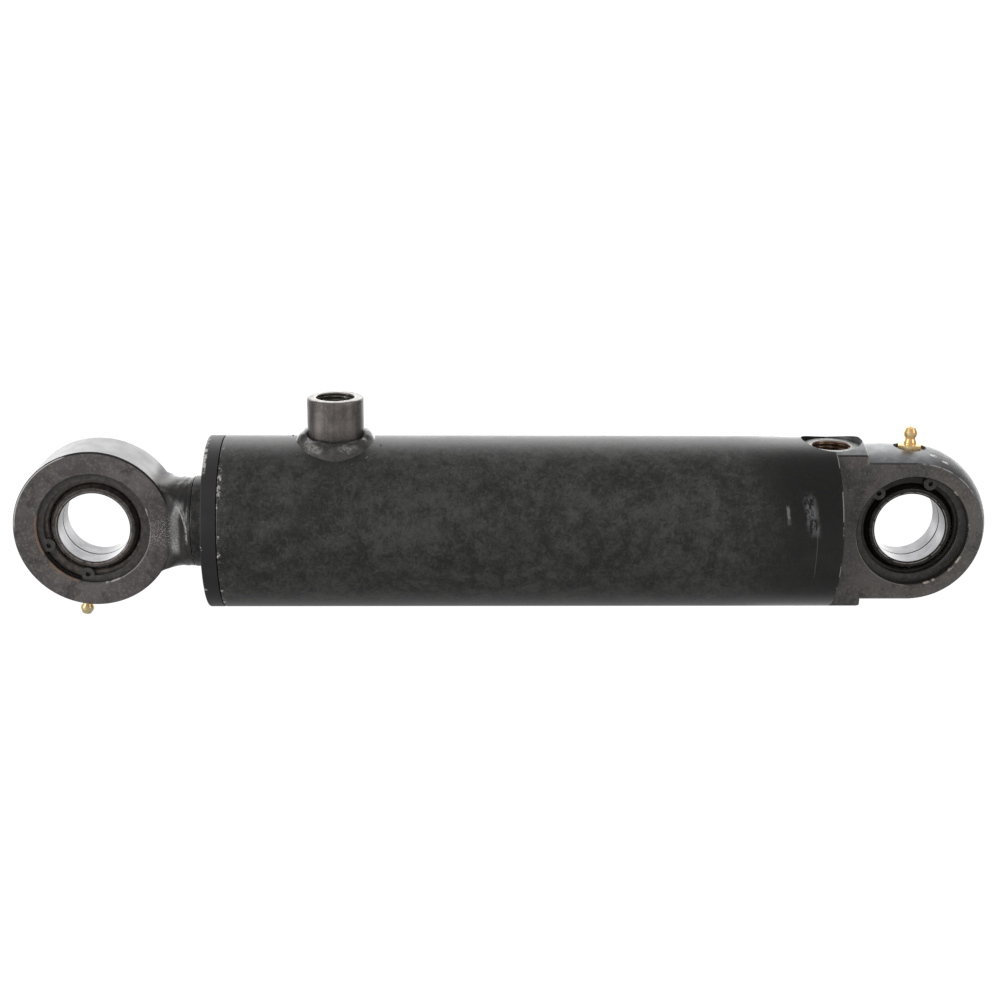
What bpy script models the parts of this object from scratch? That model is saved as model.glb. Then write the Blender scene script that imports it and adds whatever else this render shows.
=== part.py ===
"""Welded double-acting hydraulic cylinder, fully retracted.

Frame: origin at the centre of the base-end pin bore, X along the cylinder
(the rod leaves towards -X), Y along both pins, Z up through both ports.
All driving dimensions are in millimetres and turned into metres by MM.
"""

import math

import bmesh
import bpy
from mathutils import Matrix, Vector

MM = 0.001
GAP = 0.3                      # running gap between neighbouring solids

# cylinder
PIN_TO_PIN = 402.0             # closed length, bore centre to bore centre
STROKE = 175.0
TUBE_R, TUBE_BORE_R = 42.5, 35.0
TUBE_X0, TUBE_X1 = -338.5, -39.9
ROD_R = 22.5
ROD_EYE_X = -PIN_TO_PIN

# base eye casting
EYE_R, EYE_HALF = 39.0, 18.0    # turned: round bar with a ball end, then flats
DISC_X0, DISC_X1 = -39.6, -23.8
SPIGOT_X0, SPIGOT_R = -66.0, 34.6
NUT_CAVITY_R, NUT_CAVITY_X1 = 24.5, -50.0

# rod eye forging
ROD_EYE_R, ROD_EYE_HALF = 39.0, 14.5
NECK_R, NECK_END_X, NECK_FILLET = 22.3, -353.9, 10.0
NECK_FLAT_X, NECK_ROUND_X = -365.2, -359.5

# spherical plain bearings and their housings
HOUSING_R, SEAT_R = 27.5, 29.3
RACE_R, RACE_HALF, BALL_R = 27.2, 10.0, 23.5
RING_HALF, PIN_R = 12.5, 17.5
CLIP_IN_R, CLIP_OUT_R, CLIP_Y0, CLIP_T = 22.3, 28.9, 10.3, 2.0

# ports, G 1/2
PORT_BORE_R = 9.3
ROD_PORT_X, ROD_PORT_R, ROD_PORT_Z = -283.7, 13.75, 63.3
BASE_PORT_X, BASE_PORT_R, BASE_PORT_Z = -39.0, 14.7, 39.2
BASE_PORT_FLOOR = 30.0

# gland, piston
GLAND_X0, GLAND_FLANGE_X1, GLAND_BODY_X1, GLAND_NOSE_X1 = -346.3, -338.8, -300.0, -278.0
GLAND_BODY_R, GLAND_NOSE_R, GLAND_BORE_R = 34.6, 28.5, 23.0
PISTON_X0, PISTON_X1, PISTON_R, SPUD_R = -102.0, -68.0, 34.3, 13.5

# grease nipples
NIPPLE_TIP_BASE, NIPPLE_TIP_ROD = 48.4, 49.2
NIPPLE_LENGTH = 11.4
ROD_NIPPLE_TILT = math.radians(10.0)


for _o in list(bpy.data.objects):
    bpy.data.objects.remove(_o, do_unlink=True)

scene = bpy.context.scene
PARTS = bpy.data.collections.new("hydraulic_cylinder")
CUTS = bpy.data.collections.new("cutters")
scene.collection.children.link(PARTS)
scene.collection.children.link(CUTS)


def material(name, color, rough, metal):
    m = bpy.data.materials.new(name)
    m.use_nodes = True
    b = m.node_tree.nodes["Principled BSDF"]
    b.inputs["Base Color"].default_value = (*color, 1.0)
    b.inputs["Roughness"].default_value = rough
    b.inputs["Metallic"].default_value = metal
    return m


LOOKS = {
    "paint": ((0.035, 0.034, 0.031), 0.45, 0.0),
    "steel": ((0.45, 0.44, 0.43), 0.35, 1.0),
    "chrome": ((0.70, 0.70, 0.71), 0.12, 1.0),
    "phosphate": ((0.10, 0.09, 0.085), 0.5, 0.6),
    "brass": ((0.72, 0.45, 0.17), 0.3, 1.0),
    "rubber": ((0.02, 0.02, 0.02), 0.7, 0.0),
    "urethane": ((0.05, 0.16, 0.30), 0.5, 0.0),
    "plastic": ((0.30, 0.12, 0.05), 0.55, 0.0),
}


def finish(obj, look, smooth=True):
    """Put a finished object in the model's collection with its own material."""
    for c in list(obj.users_collection):
        c.objects.unlink(obj)
    PARTS.objects.link(obj)
    obj.data.materials.clear()
    obj.data.materials.append(material(obj.name + "_" + look, *LOOKS[look]))
    if smooth:
        obj.data.shade_smooth()
        obj.data.set_sharp_from_angle(angle=math.radians(35))
    return obj


def as_cutter(obj):
    for c in list(obj.users_collection):
        c.objects.unlink(obj)
    CUTS.objects.link(obj)
    obj.hide_render = True
    obj.display_type = "WIRE"
    return obj


AXIS_ROT = {"X": (0.0, math.pi / 2, 0.0), "Y": (-math.pi / 2, 0.0, 0.0), "Z": (0.0, 0.0, 0.0)}


def turned(name, profile, axis="X", at=(0, 0, 0), steps=40, closed=True, rot=None):
    """Revolve (radius, axial) points. Outer side runs from high axial to low."""
    me = bpy.data.meshes.new(name)
    verts = [(r * MM, 0.0, a * MM) for r, a in profile]
    n = len(verts)
    edges = [(i, i + 1) for i in range(n - 1)] + ([(n - 1, 0)] if closed else [])
    me.from_pydata(verts, edges, [])
    ob = bpy.data.objects.new(name, me)
    scene.collection.objects.link(ob)
    ob.location = Vector(at) * MM
    ob.rotation_euler = rot or AXIS_ROT[axis]
    m = ob.modifiers.new("Screw", "SCREW")
    m.axis = "Z"
    m.angle = 2 * math.pi
    m.steps = m.render_steps = steps
    m.use_merge_vertices = True
    m.merge_threshold = 0.00005
    m.use_smooth_shade = True
    return ob


def ring(name, r_in, r_out, a0, a1, axis="X", at=(0, 0, 0), steps=28, chamfer=0.0):
    """Plain ring from axial a0 to a1."""
    c = chamfer
    if c > 0:
        prof = [(r_in, a1), (r_out - c, a1), (r_out, a1 - c), (r_out, a0 + c), (r_out - c, a0), (r_in, a0)]
    else:
        prof = [(r_in, a1), (r_out, a1), (r_out, a0), (r_in, a0)]
    return turned(name, prof, axis, at, steps)


def rod_cut(name, r, p0, p1, n=24):
    """Straight round cutter or body from p0 to p1."""
    p0, p1 = Vector(p0) * MM, Vector(p1) * MM
    d = p1 - p0
    bpy.ops.mesh.primitive_cylinder_add(vertices=n, radius=r * MM, depth=d.length, location=(p0 + p1) / 2,
                                        rotation=d.to_track_quat("Z", "Y").to_euler())
    ob = bpy.context.active_object
    ob.name = name
    return ob


def block(name, lo, hi):
    lo, hi = Vector(lo) * MM, Vector(hi) * MM
    bpy.ops.mesh.primitive_cube_add(size=1.0, location=(lo + hi) / 2)
    ob = bpy.context.active_object
    ob.name = name
    ob.data.transform(Matrix.Diagonal((*(hi - lo), 1.0)))
    return ob


def plate(name, pts, half, plane="XZ", at=(0, 0, 0)):
    """Flat outline given by pts, thickened by half on both sides."""
    cu = bpy.data.curves.new(name, "CURVE")
    cu.dimensions = "2D"
    cu.fill_mode = "BOTH"
    cu.extrude = half * MM
    sp = cu.splines.new("POLY")
    sp.points.add(len(pts) - 1)
    for p, (x, y) in zip(sp.points, pts):
        p.co = (x * MM, y * MM, 0.0, 1.0)
    sp.use_cyclic_u = True
    tmp = bpy.data.objects.new(name + "_outline", cu)
    scene.collection.objects.link(tmp)
    tmp.location = Vector(at) * MM
    tmp.rotation_euler = (math.pi / 2, 0, 0) if plane == "XZ" else (0, 0, 0)
    bpy.context.view_layer.update()
    me = bpy.data.meshes.new_from_object(tmp.evaluated_get(bpy.context.evaluated_depsgraph_get()))
    bm = bmesh.new()
    bm.from_mesh(me)
    bmesh.ops.remove_doubles(bm, verts=bm.verts, dist=0.000005)
    bmesh.ops.recalc_face_normals(bm, faces=bm.faces)
    bm.to_mesh(me)
    bm.free()
    ob = bpy.data.objects.new(name, me)
    scene.collection.objects.link(ob)
    ob.matrix_world = tmp.matrix_world.copy()
    bpy.data.objects.remove(tmp, do_unlink=True)
    return ob


def boolean(ob, other, op):
    m = ob.modifiers.new(op.title(), "BOOLEAN")
    m.operation = op
    m.solver = "EXACT"
    m.object = as_cutter(other)
    return ob


def cut(ob, *others):
    for o in others:
        boolean(ob, o, "DIFFERENCE")


def join(ob, *others):
    for o in others:
        boolean(ob, o, "UNION")


def arc(cx, cy, r, a0, a1, n):
    """n+1 points of an arc, angles in degrees."""
    return [(cx + r * math.cos(math.radians(a0 + (a1 - a0) * i / n)),
             cy + r * math.sin(math.radians(a0 + (a1 - a0) * i / n))) for i in range(n + 1)]


# --------------------------------------------------------------- cylinder tube
tube = turned("cylinder_tube", [
    (TUBE_BORE_R, TUBE_X1), (TUBE_R - 0.8, TUBE_X1), (TUBE_R, TUBE_X1 - 0.8),
    (TUBE_R, TUBE_X0 + 0.8), (TUBE_R - 0.8, TUBE_X0), (TUBE_BORE_R, TUBE_X0)], steps=48)
cut(tube,
    rod_cut("cut_rod_port_oil", 6.0, (ROD_PORT_X, 0, 20), (ROD_PORT_X, 0, 60), 20),
    rod_cut("cut_base_port_notch", 15.0, (BASE_PORT_X, 0, 20), (BASE_PORT_X, 0, 60), 32))
finish(tube, "paint")

# ------------------------------------------------------------ base eye casting
ball_end = [(y, x) for x, y in arc(0, 0, EYE_R, 0, 90, 12)]
base = turned("base_eye", ball_end + [(EYE_R, DISC_X1), (TUBE_R, DISC_X1), (TUBE_R, DISC_X0), (0, DISC_X0)], steps=48, closed=False)
boolean(base, block("disc_flats", (-80, -EYE_HALF, -60), (60, EYE_HALF, 60)), "INTERSECT")
join(base, rod_cut("spigot", SPIGOT_R, (SPIGOT_X0, 0, 0), (DISC_X0 + 1.2, 0, 0), 44))


def housing(tag, cx, half):
    """Cutter for a bearing housing: bore, two snap-ring seats, edge chamfers."""
    e, s0, s1 = half + 1.0, CLIP_Y0 - 0.35, CLIP_Y0 + CLIP_T + 0.3
    prof = [(0, e), (HOUSING_R + 1.6, e), (HOUSING_R, half - 0.6), (HOUSING_R, s1), (SEAT_R, s1), (SEAT_R, s0),
            (HOUSING_R, s0), (HOUSING_R, -s0), (SEAT_R, -s0), (SEAT_R, -s1), (HOUSING_R, -s1),
            (HOUSING_R, -half + 0.6), (HOUSING_R + 1.6, -e), (0, -e)]
    return turned("cut_housing_" + tag, prof, "Y", (cx, 0, 0), 32, closed=False)


cut(base,
    housing("base", 0.0, EYE_HALF),
    rod_cut("cut_nut_cavity", NUT_CAVITY_R, (SPIGOT_X0 - 5, 0, 0), (NUT_CAVITY_X1, 0, 0), 32),
    rod_cut("cut_base_port_pocket", 15.0, (BASE_PORT_X, 0, BASE_PORT_FLOOR), (BASE_PORT_X, 0, 60), 32),
    rod_cut("cut_base_oil_down", 6.0, (BASE_PORT_X, 0, 8), (BASE_PORT_X, 0, 32), 16),
    rod_cut("cut_base_oil_along", 5.0, (SPIGOT_X0, 0, 14), (BASE_PORT_X, 0, 14), 16),
    rod_cut("cut_base_nipple_spot", 8.0, (0, 0, NIPPLE_TIP_BASE - NIPPLE_LENGTH), (0, 0, 50), 20),
    rod_cut("cut_base_nipple_tap", 4.3, (0, 0, 20), (0, 0, 40), 12))
finish(base, "paint")

# ---------------------------------------------------------------- port bosses
boss = turned("rod_port_boss", [
    (PORT_BORE_R + 1.4, ROD_PORT_Z), (ROD_PORT_R - 0.5, ROD_PORT_Z), (ROD_PORT_R, ROD_PORT_Z - 0.5),
    (ROD_PORT_R, 36.0), (PORT_BORE_R - 3.3, 36.0), (PORT_BORE_R - 3.3, ROD_PORT_Z - 17.0),
    (PORT_BORE_R, ROD_PORT_Z - 15.5), (PORT_BORE_R, ROD_PORT_Z - 1.4)], "Z", (ROD_PORT_X, 0, 0), 32)
cut(boss, rod_cut("cut_boss_saddle", TUBE_R + GAP, (ROD_PORT_X - 40, 0, 0), (ROD_PORT_X + 40, 0, 0), 64))
finish(boss, "phosphate")

basep = turned("base_port_boss", [
    (PORT_BORE_R + 1.9, BASE_PORT_Z), (BASE_PORT_R, BASE_PORT_Z), (BASE_PORT_R, BASE_PORT_FLOOR + GAP),
    (6.0, BASE_PORT_FLOOR + GAP), (6.0, BASE_PORT_FLOOR + 1.6), (PORT_BORE_R, BASE_PORT_FLOOR + 2.4),
    (PORT_BORE_R, BASE_PORT_Z - 1.9)], "Z", (BASE_PORT_X, 0, 0), 32)
finish(basep, "steel")


def saddle_bead(name, cx, r_in, r_out, height, n):
    """Fillet weld that follows the saddle line of a round boss on the tube."""
    prof = [(r_in, 0.0), (r_in, height), (r_in + 1.0, height + 0.2), (r_in + (r_out - r_in) * 0.55, height * 0.55),
            (r_out - 0.3, height * 0.16), (r_out, 0.0)]
    bm = bmesh.new()
    rows = []
    for i in range(n):
        a = 2 * math.pi * i / n
        row = []
        for r, h in prof:
            x, y = r * math.cos(a), r * math.sin(a)
            z = math.sqrt((TUBE_R + GAP + 0.05) ** 2 - y * y) + h
            row.append(bm.verts.new(((cx + x) * MM, y * MM, z * MM)))
        rows.append(row)
    k = len(prof)
    for i in range(n):
        a, b = rows[i], rows[(i + 1) % n]
        for j in range(k):
            bm.faces.new((a[j], b[j], b[(j + 1) % k], a[(j + 1) % k]))
    bmesh.ops.recalc_face_normals(bm, faces=bm.faces)
    me = bpy.data.meshes.new(name)
    bm.to_mesh(me)
    bm.free()
    ob = bpy.data.objects.new(name, me)
    scene.collection.objects.link(ob)
    return ob


finish(saddle_bead("rod_port_weld", ROD_PORT_X, ROD_PORT_R + GAP, 18.4, 5.2, 28), "paint")

# ---------------------------------------------------------------------- gland
g0, g1, g2, g3 = GLAND_X0, GLAND_FLANGE_X1, GLAND_BODY_X1, GLAND_NOSE_X1
gb, gr = GLAND_BORE_R, GLAND_BODY_R
gland = turned("gland", [
    (gb, g3), (GLAND_NOSE_R, g3), (GLAND_NOSE_R, g2), (gr, g2), (gr, -309.0), (30.8, -309.0), (30.8, -316.0),
    (gr, -316.0), (gr, g1), (TUBE_R, g1), (TUBE_R, g0 + 0.6), (TUBE_R - 0.6, g0), (27.6, g0), (27.6, -340.8),
    (gb, -340.8), (gb, -334.0), (28.0, -334.0), (28.0, -327.0), (gb, -327.0), (gb, -322.0), (25.6, -322.0),
    (25.6, -308.0), (gb, -308.0)], steps=32)
finish(gland, "paint")
finish(ring("wiper_seal", 22.95, 27.25, -346.0, -341.1), "rubber")
finish(ring("rod_seal", 22.95, 27.6, -333.6, -327.4), "urethane")
finish(ring("rod_guide_ring", 22.95, 25.2, -321.6, -308.4), "plastic")
finish(ring("gland_o_ring", 31.25, 34.5, -315.7, -312.2, chamfer=0.8), "rubber")
finish(ring("gland_backup_ring", 31.25, 34.5, -311.8, -309.3), "plastic")

# ------------------------------------------------------------------------ rod
rod = turned("piston_rod", [
    (0, -52.0), (SPUD_R - 1.0, -52.0), (SPUD_R, -53.0), (SPUD_R, PISTON_X0 - GAP), (ROD_R, PISTON_X0 - GAP),
    (ROD_R, -352.9), (ROD_R - 0.7, -353.6), (0, -353.6)], steps=36, closed=False)
finish(rod, "chrome")

# --------------------------------------------------------------------- piston
p0, p1, pr = PISTON_X0, PISTON_X1, PISTON_R
piston = turned("piston", [
    (SPUD_R + GAP, p1), (pr - 1.0, p1), (pr, p1 - 1.0), (pr, -71.0), (31.7, -71.0), (31.7, -77.0), (pr, -77.0),
    (pr, -81.5), (28.0, -81.5), (28.0, -88.5), (pr, -88.5), (pr, -93.0), (31.7, -93.0), (31.7, -99.0),
    (pr, -99.0), (pr, p0 + 1.0), (pr - 1.0, p0), (SPUD_R + GAP, p0), (SPUD_R + GAP, -87.0), (16.6, -87.0),
    (16.6, -83.0), (SPUD_R + GAP, -83.0)], steps=32)
finish(piston, "steel")
finish(ring("piston_seal", 28.4, 34.55, -88.1, -81.9), "urethane")
finish(ring("piston_guide_ring_front", 32.1, 34.6, -98.6, -93.4), "plastic")
finish(ring("piston_guide_ring_rear", 32.1, 34.6, -76.6, -71.4), "plastic")
finish(ring("piston_o_ring", 13.9, 16.2, -86.6, -83.4), "rubber")

bpy.ops.mesh.primitive_cylinder_add(vertices=6, radius=20.5 / math.cos(math.pi / 6) * MM, depth=14.7 * MM,
                                    location=(-60.35 * MM, 0, 0), rotation=(0, math.pi / 2, 0))
nut = bpy.context.active_object
nut.name = "piston_nut"
cut(nut, rod_cut("cut_nut_bore", SPUD_R + GAP, (-80, 0, 0), (-40, 0, 0), 32))
finish(nut, "steel", smooth=False)

# -------------------------------------------------------------- rod eye forging
fc = NECK_R + NECK_FILLET
fx = math.sqrt((ROD_EYE_R + NECK_FILLET) ** 2 - fc * fc)
fa = math.degrees(math.atan2(fc, fx))
outline = (arc(0, 0, ROD_EYE_R, fa, 360 - fa, 34)
           + arc(fx, -fc, NECK_FILLET, 180 - fa, 90, 4)
           + arc(fx, fc, NECK_FILLET, -90, -180 + fa, 4)[:-1])
rod_eye = plate("rod_eye", outline, ROD_EYE_HALF, at=(ROD_EYE_X, 0, 0))
neck = rod_cut("neck", NECK_R, (ROD_EYE_X + 26, 0, 0), (NECK_END_X, 0, 0), 40)
flat = ROD_EYE_HALF - 0.15
wedge = plate("neck_wedge", [
    (-400, -flat), (NECK_FLAT_X, -flat), (NECK_ROUND_X, -NECK_R - 0.6), (-340, -NECK_R - 0.6),
    (-340, NECK_R + 0.6), (NECK_ROUND_X, NECK_R + 0.6), (NECK_FLAT_X, flat), (-400, flat)], 40.0, plane="XY")
boolean(neck, wedge, "INTERSECT")
join(rod_eye, neck)
down = Vector((-math.sin(ROD_NIPPLE_TILT), 0, -math.cos(ROD_NIPPLE_TILT)))
eye_c = Vector((ROD_EYE_X, 0, 0))
cut(rod_eye,
    housing("rod", ROD_EYE_X, ROD_EYE_HALF),
    rod_cut("cut_rod_nipple_spot", 8.0, eye_c + down * (NIPPLE_TIP_ROD - NIPPLE_LENGTH), eye_c + down * 50, 24),
    rod_cut("cut_rod_nipple_tap", 4.3, eye_c + down * 20, eye_c + down * 40, 16))
finish(rod_eye, "paint")


# ------------------------------------------------- bearings, snap rings, nipples
def bearing(tag, cx):
    r0 = BALL_R + GAP + 0.15
    sph = [(math.sqrt(r0 * r0 - a * a), a) for a in (-9.2, -5.0, 0.0, 5.0, 9.2)]
    race = turned(tag + "_bearing_outer_race",
                  [(sph[-1][0] + 0.8, RACE_HALF), (RACE_R - 0.8, RACE_HALF), (RACE_R, RACE_HALF - 0.8),
                   (RACE_R, -RACE_HALF + 0.8), (RACE_R - 0.8, -RACE_HALF), (sph[0][0] + 0.8, -RACE_HALF)] + sph,
                  "Y", (cx, 0, 0), 32)
    finish(race, "phosphate")
    n = 4
    ball = [(math.sqrt(BALL_R ** 2 - a * a), a) for a in (RING_HALF * (1 - 2 * i / n) for i in range(n + 1))]
    inner = turned(tag + "_bearing_inner_ring",
                   [(PIN_R + 0.6, RING_HALF)] + ball + [(PIN_R + 0.6, -RING_HALF), (PIN_R, -RING_HALF + 0.6),
                                                         (PIN_R, RING_HALF - 0.6)], "Y", (cx, 0, 0), 32)
    finish(inner, "steel")


def snap_ring(name, cx, side, gap_deg, half_gap):
    """Internal circlip: ring open over the gap, an eyed lug at each end."""
    y0, y1 = (CLIP_Y0, CLIP_Y0 + CLIP_T) if side > 0 else (-CLIP_Y0 - CLIP_T, -CLIP_Y0)
    ob = ring(name, CLIP_IN_R + 1.9, CLIP_OUT_R, y0, y1, "Y", (cx, 0, 0), 28)
    h = math.radians(half_gap)
    g = math.radians(gap_deg)
    far = 60.0
    pts = [(cx, 0.0)] + [(cx + far * math.cos(g + h * t), far * math.sin(g + h * t)) for t in (-1, -0.5, 0, 0.5, 1)]
    cut(ob, plate("cut_gap_" + name, pts, 30.0))
    for s in (-1, 1):
        a = g + s * (h + math.radians(5.0))
        px, pz = cx + 24.3 * math.cos(a), 24.3 * math.sin(a)
        lug = rod_cut("lug_%s_%d" % (name, s), 3.3, (px, y0 + 0.02, pz), (px, y1 - 0.02, pz), 12)
        join(ob, lug)
        cut(ob, rod_cut("cut_lug_%s_%d" % (name, s), 1.25, (px, y0 - 1, pz), (px, y1 + 1, pz), 8))
    finish(ob, "phosphate")


def nipple(name, base_pt, direction):
    """Hydraulic-type grease nipple; base_pt is the spot-face centre."""
    rot = Vector(direction).to_track_quat("Z", "Y").to_euler()
    L = NIPPLE_LENGTH
    ob = turned(name, [
        (1.0, L), (2.2, L), (3.25, L - 2.3), (3.25, L - 3.7), (2.35, L - 5.4), (3.1, L - 7.3), (3.3, 2.0),
        (4.0, 1.5), (4.0, -4.2), (1.0, -4.2)], at=base_pt, steps=12, rot=rot)
    bpy.ops.mesh.primitive_cylinder_add(vertices=6, radius=6.35 * MM, depth=2.8 * MM,
                                        location=(Vector(base_pt) + Vector(direction) * (GAP + 1.4)) * MM,
                                        rotation=rot)
    hexagon = bpy.context.active_object
    hexagon.name = "hex_" + name
    join(ob, hexagon)
    cut(ob, rod_cut("cut_grease_" + name, 0.95, Vector(base_pt) - Vector(direction) * 6,
                    Vector(base_pt) + Vector(direction) * (L + 1), 6))
    finish(ob, "brass")


bearing("rod", ROD_EYE_X)
bearing("base", 0.0)
snap_ring("rod_snap_ring_near", ROD_EYE_X, -1, 231.0, 24.0)
snap_ring("rod_snap_ring_far", ROD_EYE_X, 1, 90.0, 24.0)
snap_ring("base_snap_ring_near", 0.0, -1, 101.0, 27.0)
snap_ring("base_snap_ring_far", 0.0, 1, 270.0, 24.0)
nipple("base_grease_nipple", (0, 0, NIPPLE_TIP_BASE - NIPPLE_LENGTH), (0, 0, 1))
nipple("rod_grease_nipple", tuple(eye_c + down * (NIPPLE_TIP_ROD - NIPPLE_LENGTH)), tuple(down))
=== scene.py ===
"""Looks for the welded hydraulic cylinder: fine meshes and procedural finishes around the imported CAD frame.
Lengths in the mesh code are millimetres in the row frame (origin at the base pin bore, X along the cylinder)."""
import math

import bmesh
import bpy
import numpy as np
from mathutils import Matrix, Vector


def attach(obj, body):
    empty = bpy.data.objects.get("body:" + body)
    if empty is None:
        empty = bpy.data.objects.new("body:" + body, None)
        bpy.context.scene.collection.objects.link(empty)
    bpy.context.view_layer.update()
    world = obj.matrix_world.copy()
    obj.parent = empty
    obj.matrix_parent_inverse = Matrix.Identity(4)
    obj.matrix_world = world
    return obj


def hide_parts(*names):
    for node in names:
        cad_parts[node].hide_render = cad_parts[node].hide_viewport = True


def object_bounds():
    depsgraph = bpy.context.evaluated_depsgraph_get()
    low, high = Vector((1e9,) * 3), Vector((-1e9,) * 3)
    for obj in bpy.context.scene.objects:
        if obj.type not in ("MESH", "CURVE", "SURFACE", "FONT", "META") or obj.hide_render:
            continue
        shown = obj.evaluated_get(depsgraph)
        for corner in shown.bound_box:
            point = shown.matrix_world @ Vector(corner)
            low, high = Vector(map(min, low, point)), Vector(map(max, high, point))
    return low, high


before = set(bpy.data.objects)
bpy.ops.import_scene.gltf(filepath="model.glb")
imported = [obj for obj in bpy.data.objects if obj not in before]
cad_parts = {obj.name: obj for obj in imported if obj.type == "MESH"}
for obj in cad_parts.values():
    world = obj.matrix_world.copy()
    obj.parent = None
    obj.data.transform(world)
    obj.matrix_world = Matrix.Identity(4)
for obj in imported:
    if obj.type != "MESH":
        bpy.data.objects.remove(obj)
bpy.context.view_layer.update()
scene = bpy.context.scene
MM = 0.001
TAU = 2 * math.pi

# ------------------------------------------------------------------ dimensions
TUBE_R, TUBE_BORE_R = 42.5, 35.0
TUBE_X0, TUBE_X1 = -338.5, -39.35
ROD_R = 22.5
ROD_EYE_X = -402.0
EYE_R, EYE_HALF = 39.0, 18.0
DISC_X0, DISC_X1 = -39.6, -23.8
ROD_EYE_R, ROD_EYE_HALF = 39.0, 14.5
NECK_R = 22.3
HOUSING_R, SEAT_R = 27.5, 29.3
RACE_R, RACE_HALF, BALL_R = 27.2, 10.0, 23.5
RING_HALF, PIN_R = 12.5, 17.5
CLIP_Y0, CLIP_T, CLIP_OUT_R = 10.3, 2.0, 28.9
PORT_MINOR, PORT_MAJOR, PITCH = 9.3, 10.45, 1.814
ROD_PORT_X, ROD_PORT_R, ROD_PORT_Z = -283.7, 13.75, 63.3
BASE_PORT_X, BASE_PORT_R, BASE_PORT_Z, BASE_PORT_FLOOR = -39.0, 14.7, 39.2, 30.0
NIPPLE_LENGTH = 11.4
TILT = math.radians(10.0)
FLAT_R = math.sqrt(EYE_R ** 2 - EYE_HALF ** 2)


# ------------------------------------------------------------------ mesh tools
def smoothstep(a, b, x):
    t = np.clip((np.asarray(x, float) - a) / (b - a), 0, 1)
    return t * t * (3 - 2 * t)


def waves(t, seed, n=6, lo=2, hi=11):
    """A smooth closed wobble round an angle t, about -1 to 1, the same every run."""
    rng = np.random.RandomState(seed)
    out = np.zeros_like(t)
    for _ in range(n):
        out = out + rng.uniform(0.4, 1.0) * np.sin(rng.randint(lo, hi + 1) * t + rng.uniform(0, TAU))
    return out / (0.5 * n)


def rounded(pts, segs=4):
    """Closed polygon of (x, y[, radius]) with its corners rounded."""
    out, m = [], len(pts)
    for i, p in enumerate(pts):
        rad = p[2] if len(p) > 2 else 0.0
        c = np.array(p[:2], float)
        if rad <= 0:
            out.append((c[0], c[1]))
            continue
        a = np.array(pts[i - 1][:2], float) - c
        b = np.array(pts[(i + 1) % m][:2], float) - c
        la, lb = np.linalg.norm(a), np.linalg.norm(b)
        a, b = a / la, b / lb
        ang = math.acos(max(-1.0, min(1.0, float(a @ b))))
        t = min(rad / math.tan(ang / 2), 0.49 * la, 0.49 * lb)
        rad = t * math.tan(ang / 2)
        mid = a + b
        centre = c + mid / np.linalg.norm(mid) * rad / math.sin(ang / 2)
        s, e = c + a * t - centre, c + b * t - centre
        a0, a1 = math.atan2(s[1], s[0]), math.atan2(e[1], e[0])
        d = (a1 - a0 + math.pi) % TAU - math.pi
        for k in range(segs + 1):
            q = a0 + d * k / segs
            out.append((centre[0] + rad * math.cos(q), centre[1] + rad * math.sin(q)))
    return out


def new_object(name, verts, faces):
    me = bpy.data.meshes.new(name)
    me.from_pydata([tuple(float(c) * MM for c in v) for v in verts], [], faces)
    bm = bmesh.new()
    bm.from_mesh(me)
    bmesh.ops.recalc_face_normals(bm, faces=bm.faces)
    bm.to_mesh(me)
    bm.free()
    ob = bpy.data.objects.new(name, me)
    scene.collection.objects.link(ob)
    return ob


def place(ob, axis="X", at=(0, 0, 0), matrix=None):
    """Turn a mesh made about Z so that its axis is the one named, and move it."""
    if matrix is None:
        if axis == "X":
            matrix = Matrix(((0, 0, 1, 0), (0, 1, 0, 0), (-1, 0, 0, 0), (0, 0, 0, 1)))
        elif axis == "Y":
            matrix = Matrix(((1, 0, 0, 0), (0, 0, 1, 0), (0, -1, 0, 0), (0, 0, 0, 1)))
        else:
            matrix = Matrix.Identity(4)
    ob.data.transform(Matrix.Translation(Vector(at) * MM) @ matrix)
    return ob


def revolve(name, prof, axis="X", at=(0, 0, 0), n=192, matrix=None, closed=True):
    """Revolve a closed profile of (radius, axial). Either may be an array over the turn."""
    t = np.linspace(0, TAU, n, endpoint=False)
    verts, rows = [], []
    for r, a in prof:
        if np.ndim(r) == 0 and abs(r) < 1e-9:
            rows.append([len(verts)])
            verts.append((0.0, 0.0, float(a)))
            continue
        rr = np.broadcast_to(np.asarray(r, float), t.shape)
        aa = np.broadcast_to(np.asarray(a, float), t.shape)
        rows.append(list(range(len(verts), len(verts) + n)))
        verts.extend(zip(rr * np.cos(t), rr * np.sin(t), aa))
    faces = []
    m = len(rows)
    for k in range(m if closed else m - 1):
        a, b = rows[k], rows[(k + 1) % m]
        if len(a) == 1 and len(b) == 1:
            continue
        for j in range(n):
            i = (j + 1) % n
            if len(a) == 1:
                faces.append((a[0], b[j], b[i]))
            elif len(b) == 1:
                faces.append((a[j], b[0], a[i]))
            else:
                faces.append((a[j], b[j], b[i], a[i]))
    return place(new_object(name, verts, faces), axis, at, matrix)


def loft(name, sections, caps=True):
    """Closed sections with the same number of (x, y, z) points, joined in order, with flat ends."""
    n = len(sections[0])
    verts = [p for s in sections for p in s]
    faces = []
    for k in range(len(sections) - 1):
        for j in range(n):
            i = (j + 1) % n
            faces.append((k * n + j, (k + 1) * n + j, (k + 1) * n + i, k * n + i))
    if caps:
        faces.append(tuple(range(n)))
        faces.append(tuple(range((len(sections) - 1) * n, len(sections) * n)))
    return new_object(name, verts, faces)


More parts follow.
